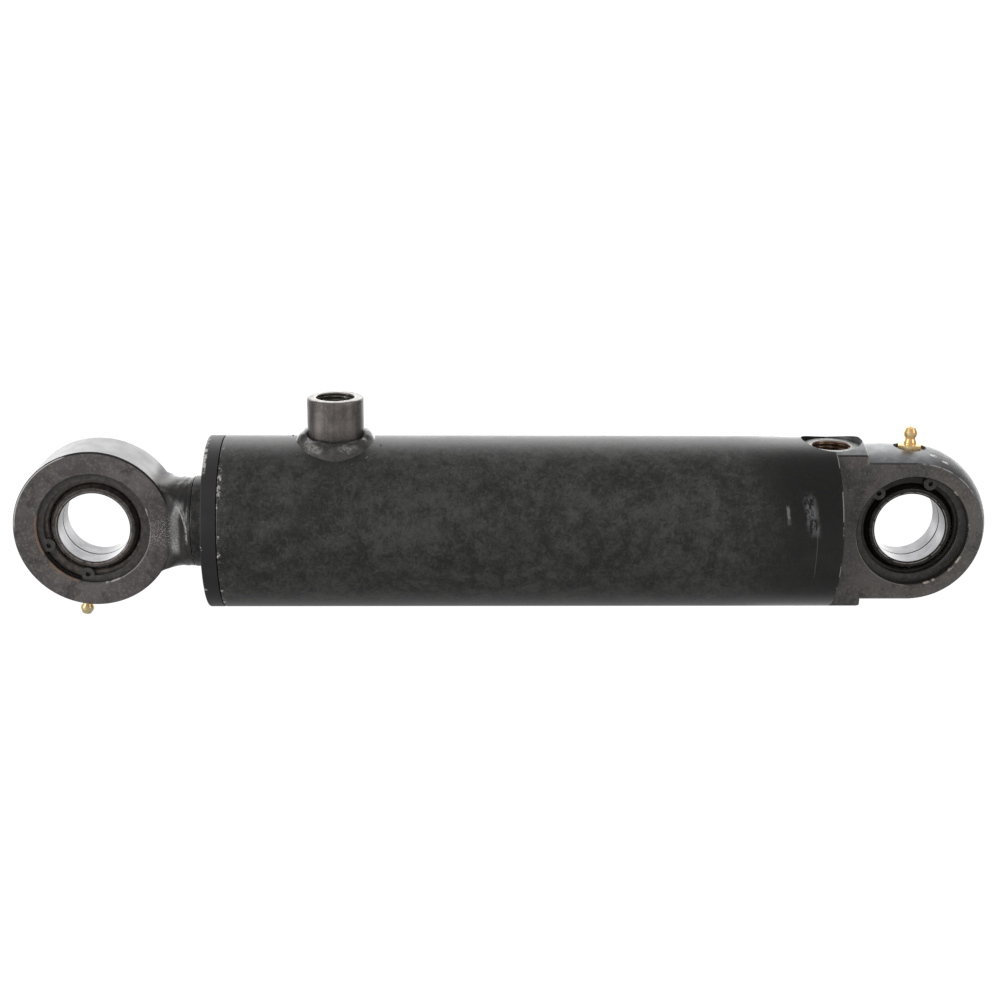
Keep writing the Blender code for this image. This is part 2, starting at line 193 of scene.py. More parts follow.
def boolean(ob, other, op="DIFFERENCE"):
    m = ob.modifiers.new(op, "BOOLEAN")
    m.operation = op
    m.solver = "EXACT"
    m.object = other
    dg = bpy.context.evaluated_depsgraph_get()
    me = bpy.data.meshes.new_from_object(ob.evaluated_get(dg))
    ob.modifiers.clear()
    old = ob.data
    ob.data = me
    bpy.data.meshes.remove(old)
    bpy.data.objects.remove(other, do_unlink=True)
    return ob


def cut(ob, *others):
    for o in others:
        boolean(ob, o)
    return ob


def unite(ob, *others):
    for o in others:
        boolean(ob, o, "UNION")
    return ob


def post(name, r, z0, z1, axis="Z", at=(0, 0, 0), n=96, matrix=None):
    return revolve(name, [(0, z0), (r, z0), (r, z1), (0, z1)], axis, at, n, matrix, closed=False)


def dress(ob, mat, body, nodes, angle=32.0, weighted=True):
    """Final shading, finish, body and CAD nodes that a piece stands for."""
    me = ob.data
    me.materials.clear()
    me.materials.append(mat)
    for p in me.polygons:
        p.material_index = 0
    me.shade_smooth()
    me.set_sharp_from_angle(angle=math.radians(angle))
    if weighted:
        m = ob.modifiers.new("Weighted", "WEIGHTED_NORMAL")
        m.mode = "FACE_AREA"
        m.weight = 100
        m.keep_sharp = True
    ob.name = ob.name
    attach(ob, body)
    if nodes:
        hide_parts(*nodes)
    return ob


# -------------------------------------------------------------- material tools
class Mat:
    """Small wrapper that keeps node graphs short. Coordinates are the row frame, in metres."""

    def __init__(self, name):
        self.m = bpy.data.materials.new(name)
        self.m.use_nodes = True
        self.n = self.m.node_tree.nodes
        self.l = self.m.node_tree.links
        self.b = self.n["Principled BSDF"]
        self.co = self.n.new("ShaderNodeTexCoord").outputs["Object"]
        s = self.n.new("ShaderNodeSeparateXYZ")
        self.l.new(self.co, s.inputs[0])
        self.x, self.y, self.z = s.outputs

    def put(self, sock, v):
        if hasattr(v, "is_linked") or hasattr(v, "links"):
            self.l.new(v, sock)
        elif isinstance(v, (tuple, list)) and len(v) == 3 and sock.type == "RGBA":
            sock.default_value = (*v, 1.0)
        else:
            sock.default_value = v

    def math(self, op, a, b=None, c=None, clamp=False):
        x = self.n.new("ShaderNodeMath")
        x.operation = op
        x.use_clamp = clamp
        for i, v in enumerate((a, b, c)):
            if v is not None:
                self.put(x.inputs[i], v)
        return x.outputs[0]

    def add(self, a, b):
        return self.math("ADD", a, b)

    def sub(self, a, b):
        return self.math("SUBTRACT", a, b)

    def mul(self, a, b, clamp=False):
        return self.math("MULTIPLY", a, b, clamp=clamp)

    def step(self, v, lo, hi):
        """0 below lo, 1 above hi, smooth between (lo may be above hi)."""
        x = self.n.new("ShaderNodeMapRange")
        x.interpolation_type = "SMOOTHSTEP"
        x.clamp = True
        self.put(x.inputs["Value"], v)
        if lo < hi:
            vals = (lo, hi, 0.0, 1.0)
        else:
            vals = (hi, lo, 1.0, 0.0)
        for k, q in zip(("From Min", "From Max", "To Min", "To Max"), vals):
            x.inputs[k].default_value = q
        return x.outputs["Result"]

    def remap(self, v, a, b, c, d):
        x = self.n.new("ShaderNodeMapRange")
        x.clamp = True
        self.put(x.inputs["Value"], v)
        for k, q in zip(("From Min", "From Max", "To Min", "To Max"), (a, b, c, d)):
            x.inputs[k].default_value = q
        return x.outputs["Result"]

    def near(self, v, centre, half, soft):
        """1 within half of centre, falling to 0 over soft."""
        return self.step(self.math("ABSOLUTE", self.sub(v, centre)), half + soft, half)

    def vec(self, x, y, z):
        c = self.n.new("ShaderNodeCombineXYZ")
        for i, v in enumerate((x, y, z)):
            self.put(c.inputs[i], v)
        return c.outputs[0]

    def stretch(self, sx, sy, sz, loc=(0, 0, 0), rot=(0, 0, 0), src=None):
        m = self.n.new("ShaderNodeMapping")
        self.l.new(src or self.co, m.inputs["Vector"])
        m.inputs["Scale"].default_value = (sx, sy, sz)
        m.inputs["Location"].default_value = loc
        m.inputs["Rotation"].default_value = rot
        return m.outputs[0]

    def noise(self, scale, detail=4.0, rough=0.5, vec=None, dist=0.0):
        x = self.n.new("ShaderNodeTexNoise")
        self.l.new(vec or self.co, x.inputs["Vector"])
        x.inputs["Scale"].default_value = scale
        x.inputs["Detail"].default_value = detail
        x.inputs["Roughness"].default_value = rough
        x.inputs["Distortion"].default_value = dist
        return x.outputs["Fac"]

    def cells(self, scale, vec=None, out="Distance", feature="F1"):
        x = self.n.new("ShaderNodeTexVoronoi")
        x.feature = feature
        self.l.new(vec or self.co, x.inputs["Vector"])
        x.inputs["Scale"].default_value = scale
        return x.outputs[out]

    def mix(self, fac, a, b, blend="MIX"):
        x = self.n.new("ShaderNodeMix")
        x.data_type = "RGBA"
        x.blend_type = blend
        x.clamp_factor = True
        self.put(x.inputs[0], fac)
        self.put(x.inputs[6], a)
        self.put(x.inputs[7], b)
        return x.outputs[2]

    def ramp(self, fac, *stops):
        x = self.n.new("ShaderNodeValToRGB")
        e = x.color_ramp.elements
        while len(e) < len(stops):
            e.new(0.5)
        for i, (p, c) in enumerate(stops):
            e[i].position = p
            e[i].color = (*c, 1.0) if isinstance(c, tuple) else (c, c, c, 1.0)
        self.l.new(fac, x.inputs[0])
        return x.outputs[0]

    def specks(self, scale, size, share, seed=0.0):
        """Scattered round dots: size is their radius in cells, share how much of the surface has any."""
        v = self.stretch(1, 1, 1, loc=(seed, seed * 0.7, -seed * 0.3))
        d = self.step(self.cells(scale, v), size, size * 0.55)
        keep = self.step(self.noise(scale * 0.31, 2.0, 0.5, v), 1.0 - share - 0.04, 1.0 - share + 0.04)
        return self.mul(d, keep)

    def bump(self, height, strength, distance, after=None):
        x = self.n.new("ShaderNodeBump")
        self.put(x.inputs["Strength"], strength)
        x.inputs["Distance"].default_value = distance
        self.l.new(height, x.inputs["Height"])
        if after is not None:
            self.l.new(after, x.inputs["Normal"])
        return x.outputs[0]

    def set(self, **kw):
        names = {"color": "Base Color", "rough": "Roughness", "metal": "Metallic", "normal": "Normal", "ior": "IOR",
                 "spec": "Specular IOR Level", "coat": "Coat Weight", "coat_rough": "Coat Roughness"}
        for k, v in kw.items():
            self.put(self.b.inputs[names[k]], v)
        return self.m


def v_max(m, *vals):
    out = vals[0]
    for v in vals[1:]:
        out = m.math("MAXIMUM", out, v)
    return out


BARE = (0.55, 0.52, 0.48)


def arc(m, ang, a0, a1, soft=3.0):
    """1 between two angles in degrees, a0 below a1, on an ARCTAN2 angle in radians."""
    d = math.radians
    return m.mul(m.step(ang, d(a0 - soft), d(a0)), m.step(ang, d(a1 + soft), d(a1)))


def barrel_paint():
    m = Mat("barrel_black_paint")
    big = m.noise(38, 5, 0.55)
    mid = m.noise(150, 6, 0.62, dist=0.25)
    fine = m.noise(620, 4, 0.6)
    fibre = m.noise(400, 8, 0.78, m.stretch(1.0, 0.8, 0.8), dist=1.2)
    cloud = m.add(m.mul(big, 0.18), m.add(m.mul(mid, 0.28), m.mul(fibre, 0.54)))
    worm = m.math("ABSOLUTE", m.sub(m.noise(210, 6, 0.66, dist=1.8), 0.5))
    veins = m.mul(m.step(worm, 0.020, 0.002), m.step(m.noise(75, 3, 0.5), 0.46, 0.62))
    dusty = m.step(cloud, 0.42, 0.60)
    # the base end was handled less: its paint is blacker and glossier
    base_end = m.step(m.add(m.x, m.mul(m.sub(big, 0.5), 0.05)), -0.096, -0.056)
    dusty = m.mul(dusty, m.remap(base_end, 0, 1, 1.0, 0.20))
    col = m.mix(dusty, (0.018, 0.018, 0.0165), (0.066, 0.066, 0.063))
    col = m.mix(m.mul(m.step(fine, 0.52, 0.75), m.remap(base_end, 0, 1, 0.44, 0.08)), col, (0.096, 0.096, 0.090))
    col = m.mix(m.mul(base_end, m.remap(m.z, -0.006, 0.016, 0.30, 0.98)), col, (0.0040, 0.0040, 0.0032))
    col = m.mix(m.mul(veins, m.remap(base_end, 0, 1, 0.52, 0.10)), col, (0.120, 0.120, 0.114))
    col = m.mix(m.mul(m.specks(820, 0.15, 0.40, 3.0), 0.45), col, (0.17, 0.165, 0.155))
    crown = m.mul(m.step(m.z, 0.0375, 0.0405), m.specks(620, 0.13, 0.46, 12.0))
    col = m.mix(m.mul(crown, 0.7), col, (0.006, 0.006, 0.006))
    px = m.sub(m.x, ROD_PORT_X * MM)
    # painted shade: the tube is darker in a ring round the foot of the port bead
    bead_shade = m.mul(m.step(m.math("SQRT", m.add(m.mul(px, px), m.mul(m.y, m.y))), 0.0300, 0.0205), m.step(m.z, 0.0, 0.010))
    col = m.mix(m.mul(bead_shade, 0.62), col, (0.0095, 0.0095, 0.0085))
    front = m.step(m.y, -0.010, -0.020)
    # dust and a few bare chips by the gland seam, a broken bare line along the base seam
    chips = m.noise(330, 5, 0.7)
    seam = m.mul(m.near(m.x, (TUBE_X0 + 0.4) * MM, 0.0008, 0.0009), m.step(chips, 0.585, 0.620))
    outside = m.step(m.math("SQRT", m.add(m.mul(m.y, m.y), m.mul(m.z, m.z))), 0.0419, 0.0422)
    high = m.mul(m.mul(m.near(m.x, (TUBE_X0 + 0.9) * MM, 0.0008, 0.0005), m.near(m.z, 0.0272, 0.0030, 0.0020)),
                 m.mul(m.step(m.noise(520, 4, 0.7), 0.45, 0.53), m.step(m.y, -0.010, -0.020)))
    seam2 = m.mul(outside, m.mul(m.near(m.x, (TUBE_X1 - 0.2) * MM, 0.0002, 0.0002), m.mul(m.step(m.noise(120, 3, 0.6), 0.47, 0.56), front)))
    dust = m.mul(m.near(m.x, (TUBE_X0 + 2.5) * MM, 0.0015, 0.008), m.specks(1500, 0.20, 0.48, 9.0))
    bare = v_max(m, seam, high, m.mul(seam2, 0.55), m.mul(dust, 0.7))
    # rubbed marks near the base end
    ragged = m.noise(420, 5, 0.7, m.stretch(1.0, 1.0, 0.30))
    rub1 = m.mul(m.near(m.add(m.x, m.mul(m.z, 0.10)), -0.0645, 0.0003, 0.0009), m.near(m.z, 0.0145, 0.0030, 0.0022))
    rub2 = m.mul(m.near(m.add(m.x, m.mul(m.z, 0.16)), -0.0525, 0.0010, 0.0032), m.near(m.z, 0.0145, 0.0055, 0.0060))
    rubs = m.mul(m.mul(m.math("MAXIMUM", rub1, m.mul(rub2, 0.75)), m.step(ragged, 0.42, 0.56)), front)
    line = m.mul(m.mul(m.near(m.x, -0.0520, 0.00012, 0.00018), m.near(m.z, 0.0010, 0.0140, 0.0060)), front)
    col = m.mix(m.mul(rubs, 0.75), col, (0.25, 0.255, 0.255))
    col = m.mix(m.mul(line, 0.45), col, (0.15, 0.14, 0.13))
    col = m.mix(bare, col, BARE)
    rough = m.remap(cloud, 0.35, 0.65, 0.30, 0.45)
    rough = m.sub(rough, m.mul(base_end, 0.17))
    h = m.add(m.mul(m.noise(900, 3, 0.5), 0.5), m.add(m.mul(mid, 0.6), m.mul(fibre, 0.5)))
    nrm = m.bump(h, 0.14, 0.0004)
    nrm = m.bump(m.math("MAXIMUM", bare, rubs), 0.4, 0.00008, nrm)
    return m.set(color=col, rough=rough, normal=nrm, ior=1.5)


def gland_paint():
    m = Mat("gland_black_paint")
    big = m.noise(60, 4, 0.5)
    fine = m.noise(700, 3, 0.5)
    col = m.mix(m.step(big, 0.35, 0.7), (0.025, 0.0263, 0.0246), (0.036, 0.0376, 0.0352))
    col = m.mix(m.mul(m.specks(1300, 0.16, 0.36, 6.0), 0.35), col, (0.12, 0.12, 0.11))
    edge = m.near(m.x, -0.3457, 0.0009, 0.0006)
    high = m.mul(m.near(m.z, 0.0375, 0.0035, 0.0030), m.step(m.y, 0.004, -0.001))
    wear = m.mul(edge, m.math("MAXIMUM", m.mul(high, m.step(m.noise(320, 4, 0.7), 0.47, 0.53)), m.step(m.noise(210, 4, 0.7), 0.64, 0.68)))
    col = m.mix(wear, col, (0.60, 0.58, 0.55))
    return m.set(color=col, rough=m.remap(big, 0.3, 0.7, 0.42, 0.52), normal=m.bump(fine, 0.05, 0.0003), ior=1.42)


def eye_paint(name, centre, warm, face_y):
    """Thin brown-black paint on a steel eye: mottled, with a fine grain and pale specks."""
    m = Mat(name)
    x = m.sub(m.x, centre)
    r = m.math("SQRT", m.add(m.mul(x, x), m.mul(m.z, m.z)))
    ang = m.math("ARCTAN2", m.z, x)
    big = m.noise(45, 5, 0.6)
    mid = m.noise(260, 6, 0.66)
    fine = m.noise(1400, 3, 0.6)
    c0, c1, c2 = warm
    col = m.mix(m.step(big, 0.36, 0.66), c0, c1)
    col = m.mix(m.mul(m.step(mid, 0.50, 0.74), 0.50), col, c2)
    blot = m.noise(95, 6, 0.72, dist=0.6)
    dark = tuple(0.55 * q for q in c0)
    col = m.mix(m.mul(m.step(blot, 0.49, 0.34), 0.80), col, dark)
    col = m.mix(m.mul(m.step(m.noise(720, 4, 0.7), 0.50, 0.66), 0.50), col, tuple(1.25 * q for q in c2))
    col = m.mix(m.mul(m.specks(1100, 0.15, 0.38, 5.0), 0.45), col, (0.25, 0.22, 0.19))
    near_face = m.step(m.y, (-face_y + 0.9) * MM, (-face_y + 0.6) * MM)
    rough = m.remap(mid, 0.3, 0.7, 0.40, 0.56)
    nrm = m.bump(m.add(fine, m.mul(mid, 1.5)), 0.18, 0.0003)
    nrm = m.bump(big, 0.10, 0.0006, nrm)
    return m, col, rough, nrm, r, ang, near_face


def mid2(m):
    return m.noise(130, 6, 0.68)


def rod_eye_paint():
    m, col, rough, nrm, r, ang, at = eye_paint("rod_eye_brown_black_paint", ROD_EYE_X * MM,
                                               ((0.092, 0.082, 0.079), (0.150, 0.135, 0.130), (0.215, 0.191, 0.181)), ROD_EYE_HALF)
    # smooth glossy rim, greyer than the cheeks; darker lines along the face's upper edge, and a painted highlight line
    # on its upper left rounding
    side = m.step(m.math("ABSOLUTE", m.y), (ROD_EYE_HALF - 0.15) * MM, (ROD_EYE_HALF - 0.9) * MM)
    body = m.step(m.x, -0.3700, -0.3740)
    col = m.mix(m.mul(m.mul(side, m.step(r, 0.0310, 0.0300)), 0.85), col, (0.016, 0.015, 0.014))
    rim = m.mul(m.mul(side, body), m.step(r, 0.0370, 0.0380))
    col = m.mix(m.mul(rim, 0.85), col, m.mix(m.step(mid2(m), 0.40, 0.66), (0.235, 0.235, 0.238), (0.35, 0.35, 0.35)))
    rough = m.sub(rough, m.mul(rim, 0.12))
    metal = m.mul(rim, 0.70)
    black = m.mul(m.mul(m.step(r, 0.03800, 0.03828), at), arc(m, ang, 16, 122, 6))
    col = m.mix(m.mul(black, 0.94), col, (0.008, 0.007, 0.007))
    metal = m.mul(metal, m.sub(1.0, black))
    rough = m.add(rough, m.mul(black, 0.20))
    # painted highlight: a thin light line on the upper left edge of the face
    edge = m.mul(m.mul(m.near(r, 0.03830, 0.00016, 0.00022), at), arc(m, ang, 112, 176, 6))
    rim_line = m.mul(m.mul(m.step(r, 0.03862, 0.03878), at), arc(m, ang, 118, 172, 6))
    col = m.mix(m.mul(rim_line, 0.85), col, (0.012, 0.011, 0.011))
    metal = m.mul(metal, m.sub(1.0, rim_line))
    col = m.mix(m.mul(edge, 0.90), col, (0.66, 0.63, 0.61))
    # housing edge: a brown tint below left, lightened as a painted highlight; a painted highlight line at the right; a
    # few bare chips
    hole = m.mul(at, m.near(r, 0.02795, 0.00028, 0.00030))
    n1 = m.step(m.noise(110, 3, 0.5), 0.40, 0.58)
    # brown tint on the lower left of the housing edge, partly a painted highlight
    tint_and_highlight = m.mul(hole, v_max(m, arc(m, ang, -179.9, -152, 0.1), arc(m, ang, 168, 179.9, 4), m.mul(arc(m, ang, -140, -96, 5), n1)))
    col = m.mix(m.mul(tint_and_highlight, 0.85), col, (0.34, 0.21, 0.13))
    # painted highlight: a fine light line along the right of the housing edge
    chamfer_highlight = m.mul(m.mul(at, m.near(r, 0.02800, 0.00008, 0.00016)), v_max(m, arc(m, ang, -64, -14, 6), m.mul(arc(m, ang, -14, 9, 6), 0.5)))
    chip_n = m.noise(300, 4, 0.7)
    chips = m.mul(hole, m.mul(m.math("MAXIMUM", arc(m, ang, -79, -66, 2), arc(m, ang, 12, 21, 2)), m.step(chip_n, 0.47, 0.53)))
    col = m.mix(m.math("MAXIMUM", m.mul(chamfer_highlight, 0.55), m.mul(chips, 0.9)), col, (0.52, 0.49, 0.46))
    # thicker, blacker and glossier on the neck and over its weld, with spatter in front of it
    neck = m.step(m.x, -0.3690, -0.3630)
    col = m.mix(m.mul(neck, 0.86), col, (0.024, 0.0225, 0.0215))
    metal = m.mul(metal, m.sub(1.0, neck))
    spat = m.mul(m.mul(m.near(m.x, -0.3705, 0.0035, 0.0060), m.near(m.z, -0.0010, 0.0030, 0.0080)), m.specks(1700, 0.36, 0.72, 2.0))
    col = m.mix(m.mul(spat, 0.95), col, (0.74, 0.71, 0.69))
    # painted reflection: a light vertical band down the swell of the neck
    lean = m.mul(m.math("MAXIMUM", m.sub(m.z, 0.0060), 0.0), 0.38)
    reflection_band = m.mul(m.mul(m.near(m.sub(m.x, lean), -0.3621, 0.0008, 0.0021), m.near(m.z, 0.0008, 0.0098, 0.0048)), m.step(m.y, 0.0, -0.005))
    reflection_band = m.mul(reflection_band, m.remap(m.noise(1300, 5, 0.75), 0.38, 0.60, 0.22, 1.0))
    reflection_band = m.mul(reflection_band, m.remap(m.math("ABSOLUTE", m.sub(m.z, 0.0005)), 0.0030, 0.0100, 0.60, 1.0))
    col = m.mix(m.mul(reflection_band, 0.90), col, (0.50, 0.485, 0.48))
    # painted highlight: a thin curved light line on the neck
    up_z = m.math("MAXIMUM", m.z, 0.0)
    bow = m.add(m.add(m.x, 0.3558), m.mul(m.mul(up_z, up_z), 34.0))
    highlight_arc = m.mul(m.mul(m.near(bow, 0.0, 0.00025, 0.00040), m.near(m.z, 0.0035, 0.0080, 0.0020)), m.step(m.y, 0.0, -0.005))
    highlight_arc = m.mul(highlight_arc, m.step(m.noise(700, 4, 0.7), 0.38, 0.58))
    col = m.mix(m.mul(highlight_arc, 0.80), col, (0.55, 0.53, 0.52))
    rough = m.sub(rough, m.mul(neck, 0.26))
    lumps = m.noise(150, 3, 0.5, m.stretch(1.8, 1, 1))
    nrm = m.bump(m.mul(lumps, m.step(m.x, -0.3660, -0.3600)), 0.55, 0.0012, nrm)
    nrm = m.bump(spat, 0.4, 0.0001, nrm)
    return m.set(color=col, rough=rough, metal=metal, normal=nrm, ior=1.5)


def base_paint():
    m, col, rough, nrm, r, ang, at = eye_paint("base_eye_black_paint", 0.0,
                                               ((0.099, 0.091, 0.086), (0.142, 0.129, 0.122), (0.195, 0.176, 0.165)), EYE_HALF)
    # the turned top is blue-black and smooth, the machined cheeks are brown
    side = m.step(m.math("ABSOLUTE", m.y), (EYE_HALF - 0.1) * MM, (EYE_HALF - 0.6) * MM)
    turned = m.mul(side, m.step(r, 0.0300, 0.0320))
    grey = m.mix(m.step(mid2(m), 0.40, 0.66), (0.19, 0.198, 0.205), (0.315, 0.325, 0.33))
    col = m.mix(m.mul(side, 0.92), col, (0.013, 0.0125, 0.012))
    inner = m.mul(side, m.step(r, 0.0310, 0.0300))
    rough = m.sub(rough, m.mul(inner, 0.20))
    # painted highlight: a thin light ring round the housing wall
    ring = m.mul(m.mul(inner, m.near(m.math("ABSOLUTE", m.y), 0.01295, 0.00010, 0.00016)), m.step(mid2(m), 0.36, 0.50))
    col = m.mix(m.mul(ring, 0.8), col, (0.20, 0.19, 0.18))
    worn = m.remap(m.step(m.add(m.x, m.mul(m.sub(mid2(m), 0.5), 0.012)), 0.0165, 0.0010), 0, 1, 0.09, 1.0)
    col = m.mix(m.mul(turned, 0.95), col, m.mix(worn, (0.030, 0.031, 0.032), grey))
    metal = m.mul(m.mul(turned, 0.70), worn)
    rough = m.sub(rough, m.mul(turned, 0.14))
    # the shank and the disc: a black line along the top of the flat, bare metal on the step, a painted highlight line
    # round the ball's edge
    shank = m.step(m.x, 0.0010, -0.0010)
    top_e = m.mul(m.mul(m.near(m.z, FLAT_R * MM, 0.00035, 0.00022), shank), m.mul(at, m.step(m.x, -0.0245, -0.0230)))
    disc_e = m.mul(m.mul(m.near(m.z, 0.03850, 0.00035, 0.00022), m.step(m.x, -0.0232, -0.0240)), at)
    col = m.mix(m.mul(m.math("MAXIMUM", m.mul(top_e, 0.65), disc_e), 0.9), col, (0.006, 0.006, 0.006))
    n2 = m.step(m.noise(260, 4, 0.7), 0.40, 0.54)
    # painted highlight: a broken light line on the ball's upper right edge
    ball_e = m.mul(m.mul(m.near(r, (FLAT_R - 0.1) * MM, 0.00014, 0.00022), at), m.mul(arc(m, ang, 34, 84, 3), n2))
    step_n = m.step(m.noise(420, 4, 0.7), 0.36, 0.48)
    step_e = m.mul(m.mul(m.near(m.x, (DISC_X1 - 0.30) * MM, 0.00035, 0.00035), m.step(m.y, -0.0015, -0.0050)), m.mul(m.step(m.z, 0.0340, 0.0352), step_n))
    col = m.mix(m.mul(ball_e, 0.8), col, (0.50, 0.47, 0.44))
    col = m.mix(m.mul(step_e, 0.85), col, (0.42, 0.36, 0.27))
    # two bare flecks on the ball
    flecks = v_max(m, m.mul(m.near(m.x, 0.0095, 0.0012, 0.0006), m.near(m.y, -0.0098, 0.0006, 0.0005)),
                   m.mul(m.near(m.x, 0.0150, 0.0012, 0.0006), m.near(m.y, -0.0125, 0.0005, 0.0005)))
    flecks = m.mul(m.mul(flecks, m.step(m.z, 0.020, 0.025)), m.step(m.noise(700, 3, 0.6), 0.34, 0.44))
    col = m.mix(m.mul(flecks, 0.95), col, (0.85, 0.84, 0.82))
    metal = m.mul(metal, m.sub(1.0, flecks))
    # the housing edge: small bare chips, a painted highlight line below left
    hole = m.mul(at, m.near(r, 0.02790, 0.00035, 0.00030))
    n3 = m.step(m.noise(380, 4, 0.7), 0.46, 0.52)
    chips = m.mul(m.mul(hole, n3), v_max(m, arc(m, ang, 41, 46, 1.5), arc(m, ang, -36, -29, 2), arc(m, ang, -46, -40, 2), arc(m, ang, -76, -64, 2),
                                         m.mul(arc(m, ang, -1, 7, 2), 0.6)))
    # painted highlight along the lower left of the housing edge
    chamfer_highlight = m.mul(m.mul(at, m.near(r, 0.02805, 0.00008, 0.00016)), arc(m, ang, -168, -98, 8))
    col = m.mix(m.math("MAXIMUM", m.mul(chips, 0.9), m.mul(chamfer_highlight, 0.38)), col, (0.55, 0.49, 0.40))
    # specks on the flat beside the barrel
    corner = m.mul(m.mul(m.near(m.x, -0.0300, 0.006, 0.006), m.near(m.z, 0.0270, 0.006, 0.008)), m.specks(1000, 0.20, 0.56, 8.0))
    col = m.mix(m.mul(m.mul(corner, at), 0.6), col, (0.36, 0.32, 0.29))
    return m.set(color=col, rough=rough, metal=metal, normal=nrm, ior=1.5)


def bead_paint():
    m = Mat("weld_bead_paint")
    mid = m.noise(300, 4, 0.6)
    col = m.mix(m.step(mid, 0.4, 0.7), (0.028, 0.026, 0.0245), (0.074, 0.068, 0.064))
    x = m.sub(m.x, ROD_PORT_X * MM)
    r = m.math("SQRT", m.add(m.mul(x, x), m.mul(m.y, m.y)))
    ang = m.math("ARCTAN2", m.y, x)
    spots = v_max(m, arc(m, ang, -134, -112, 9), arc(m, ang, -79, -60, 9), m.mul(arc(m, ang, -30, -14, 7), 0.6), arc(m, ang, 24, 44, 8),
                  arc(m, ang, 82, 104, 9), m.mul(arc(m, ang, 138, 156, 8), 0.8))
    col = m.mix(m.mul(m.step(r, 0.0174, 0.0194), 0.45), col, (0.084, 0.078, 0.071))
    glint = m.mul(m.mul(spots, m.near(m.add(r, m.mul(m.sub(m.noise(260, 4, 0.6), 0.5), 0.004)), 0.0192, 0.0003, 0.0010)), m.remap(m.noise(800, 5, 0.7), 0.40, 0.58, 0.10, 1.0))
    col = m.mix(m.mul(m.step(m.noise(1100, 4, 0.7), 0.48, 0.64), 0.26), col, (0.16, 0.149, 0.136))
    col = m.mix(m.mul(glint, 0.70), col, (0.36, 0.345, 0.325))
    # painted shade: darker in the crease at the foot of the tower
    col = m.mix(m.mul(m.step(r, 0.0168, 0.0148), 0.85), col, (0.012, 0.011, 0.010))
    col = m.mix(m.mul(m.specks(1300, 0.18, 0.48, 1.0), 0.5), col, (0.22, 0.2, 0.18))
    return m.set(color=col, rough=m.remap(mid, 0.3, 0.7, 0.16, 0.28), normal=m.bump(m.noise(420, 4, 0.6), 0.30, 0.0005), ior=1.6)


def port_steel(name, cx, top):
    m = Mat(name)
    x = m.sub(m.x, cx * MM)
    r = m.math("SQRT", m.add(m.mul(x, x), m.mul(m.y, m.y)))
    big = m.noise(110, 4, 0.6)
    streak = m.noise(260, 5, 0.6, m.stretch(1, 1, 0.12))
    rings = m.noise(700, 4, 0.6, m.stretch(0.08, 0.08, 1.0))
    col = m.mix(m.step(m.add(m.mul(big, 0.6), m.mul(streak, 0.4)), 0.38, 0.64), (0.135, 0.121, 0.115), (0.280, 0.250, 0.240))
    col = m.mix(m.mul(m.step(m.noise(1000, 4, 0.7), 0.50, 0.68), 0.45), col, (0.36, 0.33, 0.31))
    low = m.step(m.z, 0.0500, 0.0440)
    col = m.mix(m.mul(low, 0.45), col, (0.06, 0.055, 0.05))
    face = m.step(m.z, (top - 0.45) * MM, (top - 0.15) * MM)
    scuff = m.add(m.mul(m.noise(420, 5, 0.7), 0.6), m.mul(m.noise(90, 3, 0.5), 0.4))
    pale = m.mix(m.step(scuff, 0.36, 0.60), (0.25, 0.238, 0.225), (0.50, 0.485, 0.46)) if top > 50 else \
        m.mix(m.step(scuff, 0.36, 0.60), (0.14, 0.14, 0.138), (0.27, 0.27, 0.262))
    col = m.mix(face, col, pale)
    lip = m.mul(m.near(r, 9.85 * MM, 0.00025, 0.00020), face)
    col = m.mix(m.mul(lip, 0.8), col, (0.66, 0.63, 0.60) if top > 50 else (0.40, 0.38, 0.36))
    inside = m.mul(m.step(r, (PORT_MAJOR + 0.15) * MM, (PORT_MAJOR + 0.02) * MM), m.step(m.z, (top - 0.25) * MM, (top - 0.6) * MM))
    lo_c, hi_c = ((0.17, 0.160, 0.135), (0.42, 0.40, 0.35)) if top > 50 else ((0.20, 0.110, 0.072), (0.48, 0.33, 0.24))
    col = m.mix(inside, col, m.mix(m.step(big, 0.38, 0.62), lo_c, hi_c))
    root = m.mul(inside, m.step(r, (PORT_MAJOR - 0.55) * MM, (PORT_MAJOR - 0.10) * MM))
    col = m.mix(m.mul(root, 0.75), col, (0.03, 0.024, 0.020))
    # painted shade: darker deeper down the threaded hole
    deep = m.mul(inside, m.step(m.z, (top - 3.5) * MM, (top - 9.0) * MM))
    col = m.mix(m.mul(deep, 0.75), col, (0.03, 0.02, 0.015))
    rough = m.add(m.remap(streak, 0.3, 0.7, 0.34, 0.46), m.mul(inside, -0.12))
    nrm = m.bump(m.add(rings, streak), 0.09, 0.0002)
    return m.set(color=col, rough=rough, metal=m.remap(face, 0, 1, 0.72, 0.9), normal=nrm)


